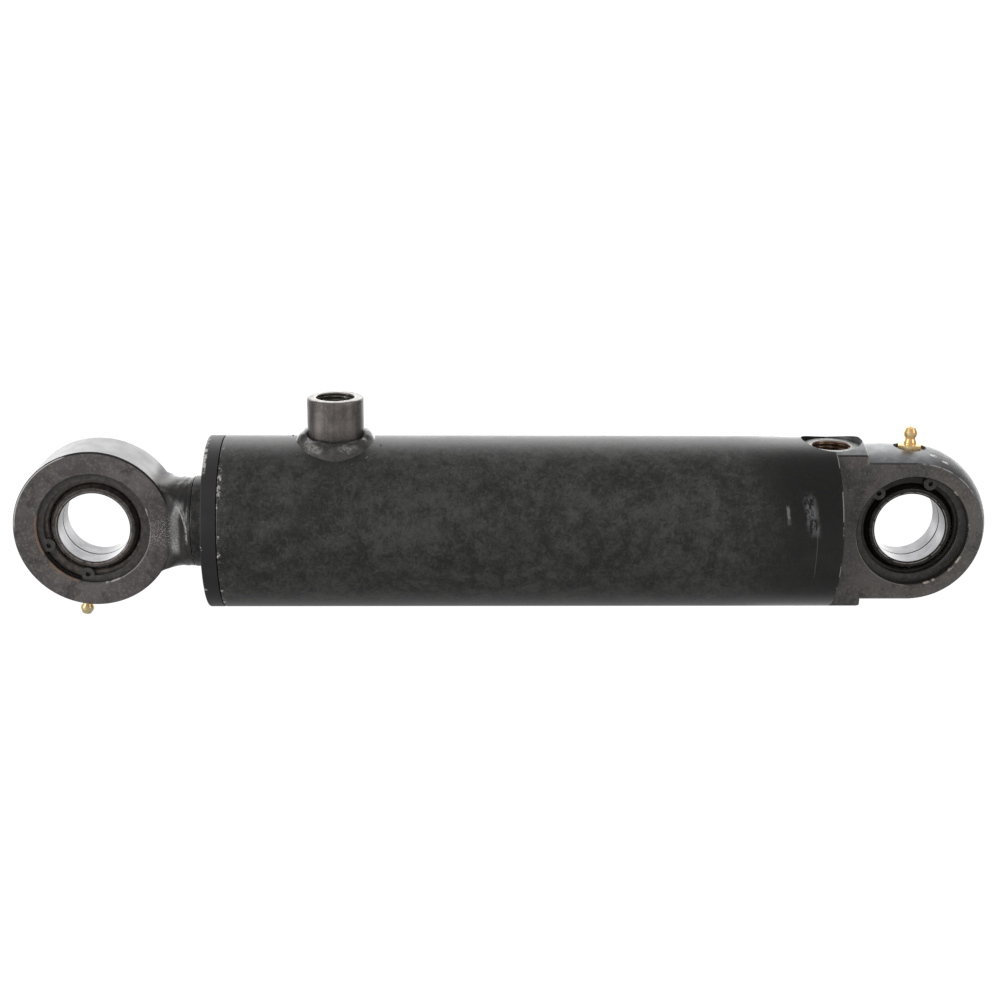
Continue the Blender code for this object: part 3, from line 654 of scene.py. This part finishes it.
def bearing_steel():
    m = Mat("bearing_steel")
    ay = m.math("ABSOLUTE", m.y)
    xa = m.math("ABSOLUTE", m.sub(m.math("ABSOLUTE", m.add(m.x, 0.201)), 0.201))
    r = m.math("SQRT", m.add(m.mul(xa, xa), m.mul(m.z, m.z)))
    mid = m.noise(330, 5, 0.6)
    turn = m.noise(900, 3, 0.5, m.vec(m.mul(r, 1.0), m.mul(m.y, 1.0), 0.0))
    bore = m.mul(m.step(r, 0.0181, 0.0178), m.step(ay, 0.0123, 0.0119))
    body = m.mix(m.step(mid, 0.38, 0.66), (0.105, 0.091, 0.084), (0.190, 0.166, 0.154))
    # the base ring is painted over, the rod ring is brown; both get a painted highlight line round the bore and the
    # outer edge
    body = m.mix(m.mul(m.step(m.x, -0.21, -0.19), 0.72), body, (0.020, 0.019, 0.018))
    rim = m.math("MAXIMUM", m.near(r, 0.0184, 0.00012, 0.00014), m.near(r, 0.0200, 0.00006, 0.00014))
    body = m.mix(m.mul(m.mul(rim, m.step(ay, 0.0116, 0.0120)), m.step(mid, 0.34, 0.50)), body, (0.42, 0.39, 0.37))
    shiny = m.mix(m.step(m.noise(160, 5, 0.6), 0.35, 0.65), (0.130, 0.130, 0.136), (0.188, 0.188, 0.196))
    col = m.mix(bore, body, shiny)
    groove = m.mul(m.step(ay, 0.00075, 0.00050), m.step(r, 0.0190, 0.0187))
    col = m.mix(m.mul(groove, 0.9), col, (0.03, 0.03, 0.03))
    rough = m.remap(bore, 0, 1, 0.32, 0.26)
    return m.set(color=col, rough=rough, metal=m.remap(bore, 0, 1, 0.75, 1.0), normal=m.bump(m.add(turn, mid), 0.06, 0.0002))


def spring_steel():
    m = Mat("spring_steel")
    mid = m.noise(420, 5, 0.6)
    col = m.mix(m.step(mid, 0.38, 0.66), (0.072, 0.066, 0.062), (0.112, 0.102, 0.097))
    col = m.mix(m.mul(m.specks(1500, 0.2, 0.4, 4.0), 0.4), col, (0.34, 0.31, 0.29))
    return m.set(color=col, rough=m.remap(mid, 0.3, 0.7, 0.28, 0.38), metal=0.25, normal=m.bump(mid, 0.06, 0.0003))


def brass():
    m = Mat("nipple_brass")
    mid = m.noise(700, 4, 0.6)
    big = m.noise(240, 3, 0.5)
    col = m.mix(m.step(big, 0.35, 0.68), (1.0, 0.60, 0.22), (1.0, 0.86, 0.50))
    col = m.mix(m.mul(m.step(mid, 0.60, 0.74), 0.35), col, (0.36, 0.20, 0.08))
    return m.set(color=col, rough=m.remap(mid, 0.3, 0.7, 0.20, 0.32), metal=0.60, coat=0.15, coat_rough=0.12, normal=m.bump(mid, 0.08, 0.0002))


def chrome():
    m = Mat("chrome_rod")
    lines = m.noise(1800, 4, 0.6, m.stretch(1.0, 0.05, 0.05))
    smear = m.noise(55, 4, 0.6, m.stretch(0.4, 1.0, 1.0))
    edge = m.add(m.x, m.mul(m.sub(m.noise(240, 4, 0.6), 0.5), 0.0016))
    painted = m.step(edge, -0.3462, -0.3470)
    col = m.mix(m.step(smear, 0.35, 0.7), (0.62, 0.63, 0.64), (0.72, 0.725, 0.73))
    paint = m.mix(m.step(m.noise(400, 5, 0.6), 0.42, 0.66), (0.020, 0.019, 0.018), (0.060, 0.055, 0.050))
    paint = m.mix(m.mul(m.specks(1500, 0.26, 0.5, 7.0), 0.7), paint, (0.3, 0.28, 0.26))
    col = m.mix(painted, col, paint)
    rough = m.remap(painted, 0, 1, 0.10, 0.34)
    return m.set(color=col, rough=rough, metal=m.sub(1.0, painted), normal=m.bump(m.add(lines, m.mul(smear, 0.3)), 0.03, 0.00008))


def machined(name, base, dark, rough, metal):
    m = Mat(name)
    mid = m.noise(260, 5, 0.6)
    grain = m.noise(1500, 3, 0.5, m.stretch(1.0, 0.1, 0.1))
    return m.set(color=m.mix(m.step(mid, 0.35, 0.68), dark, base), rough=m.remap(mid, 0.3, 0.7, rough - 0.06, rough + 0.08),
                 metal=metal, normal=m.bump(grain, 0.06, 0.0001))


def polymer(name, a, b, rough):
    m = Mat(name)
    mid = m.noise(420, 4, 0.55)
    return m.set(color=m.mix(m.step(mid, 0.36, 0.66), a, b), rough=m.remap(mid, 0.3, 0.7, rough - 0.06, rough + 0.06),
                 normal=m.bump(m.noise(1900, 3, 0.5), 0.08, 0.0001))


M_BARREL, M_GLAND, M_ROD_EYE, M_BASE, M_BEAD = barrel_paint(), gland_paint(), rod_eye_paint(), base_paint(), bead_paint()
M_PORT_R = port_steel("port_steel_rod", ROD_PORT_X, ROD_PORT_Z)
M_PORT_B = port_steel("port_steel_base", BASE_PORT_X, BASE_PORT_Z)
M_BEAR, M_CLIP, M_BRASS, M_CHROME = bearing_steel(), spring_steel(), brass(), chrome()
M_STEEL = machined("machined_steel", (0.52, 0.51, 0.50), (0.38, 0.37, 0.36), 0.32, 1.0)
M_NITRILE = polymer("nitrile", (0.010, 0.010, 0.010), (0.020, 0.020, 0.020), 0.55)
M_URETHANE = polymer("urethane", (0.020, 0.090, 0.200), (0.035, 0.130, 0.270), 0.42)
M_GUIDE = polymer("guide_plastic", (0.20, 0.085, 0.035), (0.29, 0.13, 0.055), 0.50)


# ---------------------------------------------------------------------- barrel
barrel = revolve("barrel_shell", rounded([
    (TUBE_BORE_R, TUBE_X1, 0.2), (TUBE_R, TUBE_X1, 0.25), (TUBE_R, TUBE_X0, 0.7), (TUBE_BORE_R, TUBE_X0, 0.4)], 5), n=288)
cut(barrel,
    post("c", 15.0, 20, 60, at=(BASE_PORT_X, 0, 0), n=128),
    post("c", 6.0, 20, 60, at=(ROD_PORT_X, 0, 0), n=64))
dress(barrel, M_BARREL, "barrel", ["cylinder_tube"])

# ----------------------------------------------------------------------- gland
g0, g1 = -346.3, -338.8
gland = revolve("gland_ring", rounded([
    (23.0, -278.0, 0.4), (28.5, -278.0, 0.8), (28.5, -300.0), (34.6, -300.0, 0.6), (34.6, -309.0, 0.15), (30.8, -309.0, 0.2),
    (30.8, -316.0, 0.2), (34.6, -316.0, 0.15), (34.6, g1), (42.5, g1, 0.35), (42.5, g0, 0.8), (27.6, g0, 0.35),
    (27.6, -340.8, 0.2), (23.0, -340.8, 0.2), (23.0, -334.0, 0.15), (28.0, -334.0, 0.2), (28.0, -327.0, 0.2),
    (23.0, -327.0, 0.15), (23.0, -322.0, 0.15), (25.6, -322.0, 0.2), (25.6, -308.0, 0.2), (23.0, -308.0, 0.15)], 4), n=256)
dress(gland, M_GLAND, "barrel", ["gland"])
wiper = revolve("rod_wiper", rounded([
    (27.3, -341.0, 0.2), (27.3, -345.9, 0.3), (25.3, -345.9, 0.5), (24.2, -344.2, 0.3), (23.1, -346.2, 0.25),
    (22.62, -346.0, 0.15), (23.2, -343.4, 0.3), (23.2, -341.0, 0.2)], 4), n=192)
dress(wiper, M_NITRILE, "barrel", ["wiper_seal"])


# -------------------------------------------------------- bearing housing cuts
def housing(cx, half):
    e, s0, s1 = half + 1.0, CLIP_Y0 - 0.35, CLIP_Y0 + CLIP_T + 0.3
    h = HOUSING_R
    side = [(0, e), (h + 1.6, e), (h + 0.7, half + 0.1), (h + 0.45, half - 0.25), (h + 0.1, half - 0.55), (h, half - 0.75),
            (h, s1 + 0.12), (h + 0.12, s1), (SEAT_R, s1), (SEAT_R, s0), (h + 0.12, s0), (h, s0 - 0.12)]
    prof = side + [(r, -a) for r, a in reversed(side)]
    return revolve("c", prof, "Y", (cx, 0, 0), 224, closed=False)


# --------------------------------------------------------------- base casting
def eye_section(r, y, n=96):
    """Outline of the base eye at depth y: half a circle of radius r and two straight runs back into the disc."""
    pts = []
    for k in range(n + 1):
        a = math.pi / 2 - math.pi * k / n
        pts.append((r * math.cos(a), y, r * math.sin(a)))
    return pts + [(-32.0 * k / 16, y, -r) for k in range(1, 17)] + [(-32.0 * k / 16, y, r) for k in range(16, 0, -1)]


# a round bar with a ball end and two flats: at depth y its half height is that of the ball
ball_rows = [(math.sqrt(EYE_R ** 2 - y * y), y) for y in np.linspace(-EYE_HALF, EYE_HALF, 41)]
ball_rows = rounded([(0, -EYE_HALF), (FLAT_R, -EYE_HALF, 0.7)] + ball_rows[1:-1] + [(FLAT_R, EYE_HALF, 0.7), (0, EYE_HALF)], 5)[1:-1]
base = loft("base_casting", [eye_section(r, y) for r, y in ball_rows])


def disc_section(x, o, n=28):
    r, w = TUBE_R - o, EYE_HALF - o
    a = math.asin(w / r)
    arc = [(r * math.sin(-a + 2 * a * k / n), r * math.cos(-a + 2 * a * k / n)) for k in range(n + 1)]
    poly = [(y, z) for y, z in arc] + [(-y, -z) for y, z in arc]
    out = []
    for i, (y, z) in enumerate(poly):
        out.append((x, y, z))
    return out


disc = loft("c", [disc_section(x, o) for x, o in (
    (DISC_X0, 0.25), (DISC_X0 + 0.08, 0.08), (DISC_X0 + 0.25, 0.0), (DISC_X1 - 1.4, 0.0), (DISC_X1 - 0.95, 0.07), (DISC_X1 - 0.55, 0.28),
    (DISC_X1 - 0.22, 0.62), (DISC_X1 - 0.05, 1.0), (DISC_X1, 1.4))], caps=True)
spigot = revolve("c", [(24.5, -66.0), (33.8, -66.0), (34.6, -65.2), (34.6, -37.0), (0, -37.0), (0, -50.0), (24.5, -50.0)], n=160)
unite(base, disc, spigot)
cut(base, housing(0.0, EYE_HALF),
    post("c", 15.0, BASE_PORT_FLOOR, 60, at=(BASE_PORT_X, 0, 0), n=128),
    post("c", 6.0, 8, 32, at=(BASE_PORT_X, 0, 0), n=48),
    post("c", 8.0, 37.0, 60, n=96),
    post("c", 4.1, 24, 40, n=48))
dress(base, M_BASE, "barrel", ["base_eye"])


# -------------------------------------------------------------- rod eye forging
def outline_h(x):
    """Half height of the eye's outline, x from its centre: circle, fillet, neck."""
    f = 4.5
    xc = math.sqrt((ROD_EYE_R + f) ** 2 - (NECK_R + f) ** 2)
    xt = xc * ROD_EYE_R / (ROD_EYE_R + f)
    if x <= xt:
        d = 0.02 + 0.05 * max(0.0, xt - 0.4 - x)
        return math.sqrt(ROD_EYE_R ** 2 - x * x) - min(d, 0.6) + 0.04
    if x < xc:
        return NECK_R + f - math.sqrt(max(0.0, f * f - (x - xc) ** 2))
    return NECK_R


# the cheek swells out to the neck: a shallow slope, then a steep one (slope angles in degrees at each station)
NECK_T = np.linspace(34.0, 48.2, 72)
NECK_W = np.concatenate([[0.0], np.cumsum(np.tan(np.radians(np.interp(
    NECK_T[1:] - 0.1, [34.4, 37.4, 41.6, 43.2, 48.2], [0, 24, 33, 52, 52]))) * (NECK_T[1] - NECK_T[0]))])


def neck_section(x, n=144):
    h = outline_h(x)
    k = float(smoothstep(25.0, 41.5, x))
    p = 1.0 / ((1 - k) * (1 / 9.0) + k * 0.5)
    a = (1 - k) * 34.0 + k * h
    w = 14.15 + float(np.interp(x, NECK_T, NECK_W))
    lump = float(smoothstep(38.0, 42.0, x))
    pts = []
    for j in range(n):
        t = TAU * j / n
        c, s = math.cos(t), math.sin(t)
        r = (abs(c / a) ** p + abs(s / h) ** p) ** (-1.0 / p)
        if abs(c) > 1e-6:
            q = 14.0
            r = (r ** -q + (w / abs(c)) ** -q) ** (-1.0 / q) if w / abs(c) < r * 1.6 else r
        if lump > 0:
            wob = (0.5 * math.sin(5 * t + 0.31 * x) + 0.35 * math.sin(9 * t - 0.9 * x) + 0.3 * math.sin(14 * t + 1.7 * x))
            dip = math.exp(-((x - 46.2) / 0.5) ** 2)
            r -= lump * (0.16 + 0.16 * wob + 0.14 * dip)
        pts.append((ROD_EYE_X + x, r * c, r * s))
    return pts


forging = revolve("rod_eye_forging", rounded([
    (0, -ROD_EYE_HALF), (ROD_EYE_R, -ROD_EYE_HALF, 0.8), (ROD_EYE_R, ROD_EYE_HALF, 0.8), (0, ROD_EYE_HALF)], 4), "Y", (ROD_EYE_X, 0, 0), 256,
    closed=False)
xs = list(np.linspace(12, 29, 18)) + list(np.linspace(29.35, 48.1, 64))
neck = loft("c", [neck_section(x) for x in xs])
unite(forging, neck)
down = Vector((-math.sin(TILT), 0, -math.cos(TILT)))
tilt = Vector((0, 0, 1)).rotation_difference(down).to_matrix().to_4x4()
cut(forging, housing(ROD_EYE_X, ROD_EYE_HALF),
    post("c", 8.0, 37.8, 60, at=(ROD_EYE_X, 0, 0), n=96, matrix=tilt),
    post("c", 4.1, 24, 40, at=(ROD_EYE_X, 0, 0), n=48, matrix=tilt))
dress(forging, M_ROD_EYE, "rod", ["rod_eye"])

rod = revolve("chrome_piston_rod", [
    (0, -52.0), (12.5, -52.0), (13.5, -53.0), (13.5, -102.3), (22.0, -102.3), (22.4, -102.45), (ROD_R, -102.8), (ROD_R, -352.9),
    (ROD_R - 0.2, -353.4), (ROD_R - 0.7, -353.6), (0, -353.6)], n=256, closed=False)
dress(rod, M_CHROME, "rod", ["piston_rod"])


# ----------------------------------------------------------------------- ports
def thread_rows(z0, z1, n):
    """Bore rows from z0 up to z1 with a G 1/2 thread cut in, fading at both ends."""
    t = np.linspace(0, TAU, n, endpoint=False)
    rows = []
    for z in np.arange(z0, z1 + 1e-6, PITCH / 11):
        u = z / PITCH - t / TAU
        v = np.abs((u % 1.0) * 2 - 1)
        form = smoothstep(0.12, 0.88, v)
        fade = smoothstep(z0 - 0.01, z0 + 1.2, z) * (1 - smoothstep(z1 - 0.6, z1 + 0.01, z))
        rows.append((PORT_MINOR + (PORT_MAJOR - PORT_MINOR) * form * float(fade), float(z)))
    return rows


NP = 144
tp = np.linspace(0, TAU, NP, endpoint=False)


def saddle(r, lift=0.03):
    return np.sqrt((TUBE_R + lift) ** 2 - (r * np.sin(tp)) ** 2)


top = ROD_PORT_Z
prof = [(9.35, top - 0.55), (9.45, top - 0.3), (9.8, top), (ROD_PORT_R - 1.1, top), (ROD_PORT_R - 0.75, top - 0.07), (ROD_PORT_R - 0.15, top - 0.62),
        (ROD_PORT_R, top - 1.0)]
prof += [(ROD_PORT_R, top - 8.0), (ROD_PORT_R, 48.0)] + [(r, saddle(r)) for r in (ROD_PORT_R, 11.5, 9.0, 6.0)]
prof += [(6.0, 46.3), (PORT_MINOR, 48.2)] + thread_rows(48.6, top - 0.7, NP)
tower = revolve("rod_port_tower", prof, "Z", (ROD_PORT_X, 0, 0), NP)
dress(tower, M_PORT_R, "barrel", ["rod_port_boss"], angle=40)

prof = [(9.35, BASE_PORT_Z - 0.55), (9.45, BASE_PORT_Z - 0.3), (9.8, BASE_PORT_Z), (BASE_PORT_R - 0.3, BASE_PORT_Z), (BASE_PORT_R, BASE_PORT_Z - 0.3),
        (BASE_PORT_R, BASE_PORT_FLOOR + 0.1), (6.0, BASE_PORT_FLOOR + 0.1), (6.0, BASE_PORT_FLOOR + 1.2), (PORT_MINOR, BASE_PORT_FLOOR + 2.0)]
prof += thread_rows(BASE_PORT_FLOOR + 2.2, BASE_PORT_Z - 0.7, NP)
insert = revolve("base_port_insert", prof, "Z", (BASE_PORT_X, 0, 0), NP)
dress(insert, M_PORT_B, "barrel", ["base_port_boss"], angle=40)


def bead(n=384, k=22):
    t = np.linspace(0, TAU, n, endpoint=False)
    outer = 19.4 + 2.6 * np.sin(t) ** 2 + 0.42 * waves(t, 3, 6, 3, 9)
    foot_z = 44.7 + 3.1 * smoothstep(0.80, 1.0, np.abs(np.cos(t))) + 0.25 * waves(t, 8, 6, 3, 8)
    high = foot_z - np.sqrt(TUBE_R ** 2 - (ROD_PORT_R * np.sin(t)) ** 2)
    side = smoothstep(0.72, 1.0, np.abs(np.cos(t)))
    prof = []
    for i in range(k + 1):
        s = i / k
        r = ROD_PORT_R - 0.05 + (outer - ROD_PORT_R + 0.05) * s
        swell = math.sin(math.pi * min(1.0, s * 1.02)) ** 0.8
        lump = (0.72 * waves(t + 0.5 * s, 11, 7, 4, 10) + 0.34 * waves(t - 0.4 * s, 21, 7, 10, 20)) * swell
        foot = 1.2 * math.exp(-((s - 0.05) / 0.10) ** 2) * (1 - 0.85 * side)
        h = high * (1 - s) ** 1.25 + (2.3 - 0.9 * side) * math.sin(math.pi * s ** 1.15) + lump * (1 - 0.5 * side) * float(smoothstep(0.12, 0.60, s)) - foot - 0.12 * s
        z = np.sqrt(TUBE_R ** 2 - (r * np.sin(t)) ** 2) + h
        prof.append((r, z))
    r1 = outer - 0.4
    prof.append((r1, np.sqrt(TUBE_R ** 2 - (r1 * np.sin(t)) ** 2) - 0.35))
    prof.append((ROD_PORT_R - 0.05, np.sqrt(TUBE_R ** 2 - ((ROD_PORT_R - 0.05) * np.sin(t)) ** 2) - 0.35))
    ob = revolve("rod_port_bead", prof, "Z", (ROD_PORT_X, 0, 0), n)
    # spatter: small frozen drops on the tube round the bead
    for dx, dy, r in ((15.9, -19.6, 0.75), (19.9, -17.2, 0.60), (-17.5, -17.9, 0.55), (22.4, -9.5, 0.45), (-14.0, -20.6, 0.5), (9.0, -23.4, 0.45),
                      (-21.5, 6.0, 0.5), (17.0, 18.0, 0.6)):
        z = math.sqrt(TUBE_R ** 2 - dy * dy)
        q = Vector((0, 0, 1)).rotation_difference(Vector((0, dy, z))).to_matrix().to_4x4()
        drop = revolve("c", [(0, -0.3), (r * 1.05, -0.3), (r, 0.25 * r), (0.72 * r, 0.62 * r), (0.35 * r, 0.82 * r), (0, 0.88 * r)], "Z",
                       (ROD_PORT_X + dx, dy, z), 20, matrix=q, closed=False)
        unite(ob, drop)
    return ob


dress(bead(), M_BEAD, "barrel", ["rod_port_weld"], angle=60, weighted=False)


# -------------------------------------------------------------------- bearings
def bearing(tag, cx, body, ring_body):
    r0 = BALL_R + 0.35
    ball_in = [(math.sqrt(r0 * r0 - a * a), a) for a in np.linspace(-9.3, 9.3, 25)]
    race = rounded([(ball_in[-1][0], 9.3), (ball_in[-1][0] + 0.6, RACE_HALF, 0.2), (RACE_R, RACE_HALF, 0.7), (RACE_R, -RACE_HALF, 0.7),
                    (ball_in[0][0] + 0.6, -RACE_HALF, 0.2)], 4) + ball_in[:-1]
    ob = revolve(tag + "_race", race, "Y", (cx, 0, 0), 192)
    dress(ob, M_BEAR, body, [tag + "_bearing_outer_race"])
    ball = [(math.sqrt(BALL_R ** 2 - a * a), a) for a in np.linspace(RING_HALF - 0.35, -RING_HALF + 0.35, 33)]
    h, p = RING_HALF, PIN_R
    face = [(ball[0][0] - 0.35, h), (p + 0.75, h), (p + 0.3, h - 0.2), (p + 0.06, h - 0.5), (p, h - 0.8)]
    groove = [(p, 0.5), (p + 0.5, 0.42), (p + 0.95, 0.2), (p + 1.0, 0.0)]
    left = face[::-1]
    prof = ball + [(ball[-1][0] - 0.35, -h)] + [(r, -a) for r, a in face[1:]]
    prof += [(r, -a) for r, a in groove] + [(r, a) for r, a in groove[:-1][::-1]] + left[:-1] + [(ball[0][0] - 0.35, h)]
    ob = revolve(tag + "_inner_ring", prof, "Y", (cx, 0, 0), 192)
    dress(ob, M_BEAR, ring_body, [tag + "_bearing_inner_ring"])


bearing("rod", ROD_EYE_X, "rod", "rod_ring")
bearing("base", 0.0, "barrel", "base_ring")


def snap_ring(name, cx, side, gap, half, body, node):
    """Internal circlip with tapering arms and two eyed lugs."""
    y0, y1 = (CLIP_Y0, CLIP_Y0 + CLIP_T) if side > 0 else (-CLIP_Y0 - CLIP_T, -CLIP_Y0)
    c = 0.22
    n = 180
    secs = []
    for k in range(n + 1):
        u = k / n
        a = math.radians(gap + half + (360 - 2 * half) * u)
        ri = 24.7 - 0.75 * math.sin(math.pi * u)
        ro = CLIP_OUT_R - 0.02
        q = [(ri + c, y0), (ro - c, y0), (ro, y0 + c), (ro, y1 - c), (ro - c, y1), (ri + c, y1), (ri, y1 - c), (ri, y0 + c)]
        secs.append([(cx + r * math.cos(a), y, r * math.sin(a)) for r, y in q])
    ob = loft(name, secs)
    for s in (-1, 1):
        a = math.radians(gap + s * (half + 5))
        at = (cx + 24.3 * math.cos(a), 0, 24.3 * math.sin(a))
        lug = revolve("c", [(0, y0), (3.3 - c, y0), (3.3, y0 + c), (3.3, y1 - c), (3.3 - c, y1), (0, y1)], "Y", at, 64, closed=False)
        unite(ob, lug)
        cut(ob, revolve("c", [(0, y0 - 1), (1.25, y0 - 1), (1.25, y1 + 1), (0, y1 + 1)], "Y", at, 40, closed=False))
    dress(ob, M_CLIP, body, [node])


snap_ring("rod_circlip_near", ROD_EYE_X, -1, 231, 24, "rod", "rod_snap_ring_near")
snap_ring("rod_circlip_far", ROD_EYE_X, 1, 90, 24, "rod", "rod_snap_ring_far")
snap_ring("base_circlip_near", 0.0, -1, 101, 27, "barrel", "base_snap_ring_near")
snap_ring("base_circlip_far", 0.0, 1, 270, 24, "barrel", "base_snap_ring_far")


# --------------------------------------------------------------------- nipples
def nipple(name, at, matrix, base_z, body, node):
    L = NIPPLE_LENGTH
    shaft = rounded([(0.95, L - 1.3), (1.3, L, 0.2), (2.2, L, 0.5), (3.25, L - 2.3, 0.7), (3.25, L - 3.7, 0.7), (2.35, L - 5.4, 0.7),
                     (3.1, L - 7.3, 0.6), (3.3, 2.0), (4.0, 1.5), (4.0, -4.2), (0.95, -4.2)], 4)
    ob = revolve(name, shaft, "Z", (0, 0, 0), 72)
    hexa = loft("c", [[(6.35 * math.cos(math.radians(60 * j + 15)), 6.35 * math.sin(math.radians(60 * j + 15)), z) for j in range(6)]
                      for z in (0.3, 3.1)])
    dome = revolve("c", [(0, 0.0), (5.9, 0.0), (6.3, 0.45), (6.36, 0.7), (6.36, 2.2), (6.1, 2.62), (5.4, 3.05), (0, 3.05)], "Z", (0, 0, 0), 72,
                   closed=False)
    boolean(hexa, dome, "INTERSECT")
    cut(hexa, post("c", 2.0, -1, 7, n=48))
    unite(ob, hexa)
    ob.data.transform(Matrix.Translation((0, 0, base_z * MM)))
    place(ob, at=at, matrix=matrix)
    dress(ob, M_BRASS, body, [node])


nipple("base_nipple", (0, 0, 0), Matrix.Identity(4), 37.0, "barrel", "base_grease_nipple")
nipple("rod_nipple", (ROD_EYE_X, 0, 0), tilt, 37.75, "rod", "rod_grease_nipple")

# ------------------------------------------------- CAD nodes that stay as they are
for names, mat in ((("piston", "piston_nut"), M_STEEL), (("rod_seal", "piston_seal"), M_URETHANE),
                   (("gland_o_ring", "piston_o_ring"), M_NITRILE),
                   (("rod_guide_ring", "piston_guide_ring_front", "piston_guide_ring_rear", "gland_backup_ring"), M_GUIDE)):
    for nm in names:
        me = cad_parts[nm].data
        me.materials.clear()
        me.materials.append(mat)

# --------------------------------------------------------------- floor and light
lo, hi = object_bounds()
fz = lo.z - 0.0004
me = bpy.data.meshes.new("floor")
S = 12.0
me.from_pydata([(-S, -S, fz), (S, -S, fz), (S, S, fz), (-S, S, fz)], [], [(0, 1, 2, 3)])
floor = bpy.data.objects.new("floor", me)
scene.collection.objects.link(floor)
fm = bpy.data.materials.new("pale_floor")
fm.use_nodes = True
fb = fm.node_tree.nodes["Principled BSDF"]
fb.inputs["Base Color"].default_value = (0.12, 0.12, 0.12, 1)
fb.inputs["Roughness"].default_value = 1.0
fb.inputs["Specular IOR Level"].default_value = 0.0
fb.inputs["Emission Color"].default_value = (1, 1, 1, 1)
fb.inputs["Emission Strength"].default_value = 1.0
me.materials.append(fm)
floor.visible_glossy = False
floor.visible_diffuse = False

world = bpy.data.worlds.new("studio")
scene.world = world
world.use_nodes = True
wn, wl = world.node_tree.nodes, world.node_tree.links
bg = wn["Background"]
tc = wn.new("ShaderNodeTexCoord")
sep = wn.new("ShaderNodeSeparateXYZ")
wl.new(tc.outputs["Generated"], sep.inputs[0])


def wmath(op, a, b):
    x = wn.new("ShaderNodeMath")
    x.operation = op
    for i, v in enumerate((a, b)):
        if isinstance(v, (int, float)):
            x.inputs[i].default_value = v
        elif v is not None:
            wl.new(v, x.inputs[i])
    return x.outputs[0]


def wramp(fac, *stops):
    x = wn.new("ShaderNodeValToRGB")
    e = x.color_ramp.elements
    while len(e) < len(stops):
        e.new(0.5)
    for q, (p, v) in zip(e, stops):
        q.position = (p + 1) / 2
        q.color = (v / 4, v / 4, v / 4, 1)
    wl.new(fac, x.inputs[0])
    return x.outputs[0]


def wstep(v, lo, hi):
    x = wn.new("ShaderNodeMapRange")
    x.interpolation_type = "SMOOTHSTEP"
    wl.new(v, x.inputs["Value"])
    vals = (lo, hi, 0.0, 1.0) if lo < hi else (hi, lo, 1.0, 0.0)
    for k, q in zip(("From Min", "From Max", "To Min", "To Max"), vals):
        x.inputs[k].default_value = q
    return x.outputs["Result"]


def wmix(fac, a, b):
    x = wn.new("ShaderNodeMix")
    x.data_type = "RGBA"
    for i, v in ((0, fac), (6, a), (7, b)):
        if isinstance(v, (int, float)):
            x.inputs[i].default_value = (v / 4, v / 4, v / 4, 1)
        else:
            wl.new(v, x.inputs[i])
    return x.outputs[2]


# The studio round the object, by direction: grey in front, a white wall behind, dark gaps beside it, a bright left.
wx, wy, wz = sep.outputs
flat = wmath("SQRT", wmath("ADD", wmath("MULTIPLY", wx, wx), wmath("MULTIPLY", wy, wy)), None)
hx, hy = wmath("DIVIDE", wx, wmath("MAXIMUM", flat, 0.02)), wmath("DIVIDE", wy, wmath("MAXIMUM", flat, 0.02))
z01 = wmath("ADD", wmath("MULTIPLY", wz, 0.5), 0.5)
front = wramp(z01, (-1.0, 0.28), (-0.4, 0.32), (0.0, 0.40), (0.44, 0.38), (0.85, 0.38), (1.0, 0.38))
wall = wramp(z01, (-1.0, 0.40), (-0.45, 0.60), (-0.27, 1.30), (-0.10, 2.50), (0.10, 2.40), (0.21, 1.90), (0.33, 1.98), (0.48, 2.40), (0.62, 2.20),
             (0.73, 1.35), (0.82, 0.78), (0.88, 0.48), (0.94, 0.40), (1.0, 0.38))
low = wmath("MULTIPLY", wstep(wz, 0.85, 0.55), wstep(wz, -0.55, -0.15))
sky = wmix(wmath("MULTIPLY", low, wmath("MULTIPLY", wstep(hx, -0.25, -0.75), wstep(hy, 0.25, 0.05))), front, 0.86)
gap = wmath("MULTIPLY", wstep(hy, -0.10, 0.12), low)
sky = wmix(gap, sky, 0.28)
sky = wmix(wstep(hy, 0.62, 0.90), sky, wall)
wl.new(sky, bg.inputs["Color"])
bg.inputs["Strength"].default_value = 4.0


def softbox(name, at, aim, w, h, power):
    li = bpy.data.lights.new(name, "AREA")
    li.shape = "RECTANGLE"
    li.size, li.size_y = w, h
    li.energy = power
    ob = bpy.data.objects.new(name, li)
    scene.collection.objects.link(ob)
    ob.location = at
    ob.rotation_euler = (Vector(aim) - Vector(at)).to_track_quat("-Z", "Y").to_euler()
    return ob


softbox("right_softbox", (1.45, -1.05, 0.55), (-0.1, 0, 0), 0.7, 0.9, 6.0)
softbox("left_softbox", (-1.7, -0.9, 0.45), (-0.35, 0, 0), 0.7, 0.9, 8.0)

# ---------------------------------------------------------------------- camera
th, psi, rho = math.radians(16.44), math.radians(1.534), math.radians(0.47)
fwd = Vector((math.sin(psi) * math.cos(th), math.cos(psi) * math.cos(th), -math.sin(th)))
right = Vector((math.cos(psi), -math.sin(psi), 0))
up = right.cross(fwd)
r2 = math.cos(rho) * right + math.sin(rho) * up
u2 = -math.sin(rho) * right + math.cos(rho) * up
cam_data = bpy.data.cameras.new("camera")
cam_data.sensor_width = 36.0
cam_data.lens = 1.772 * 36.0
cam_data.clip_start, cam_data.clip_end = 0.01, 100.0
cam = bpy.data.objects.new("camera", cam_data)
scene.collection.objects.link(cam)
cm = Matrix.Identity(4)
for i in range(3):
    cm[i][0], cm[i][1], cm[i][2] = r2[i], u2[i], -fwd[i]
cm[0][3], cm[1][3], cm[2][3] = -0.2255, -0.845, 0.2602
cam.matrix_world = cm
scene.camera = cam
scene.view_settings.view_transform = "Standard"
scene.view_settings.look = "None"
scene.view_settings.exposure = 0.0
scene.view_settings.gamma = 1.0
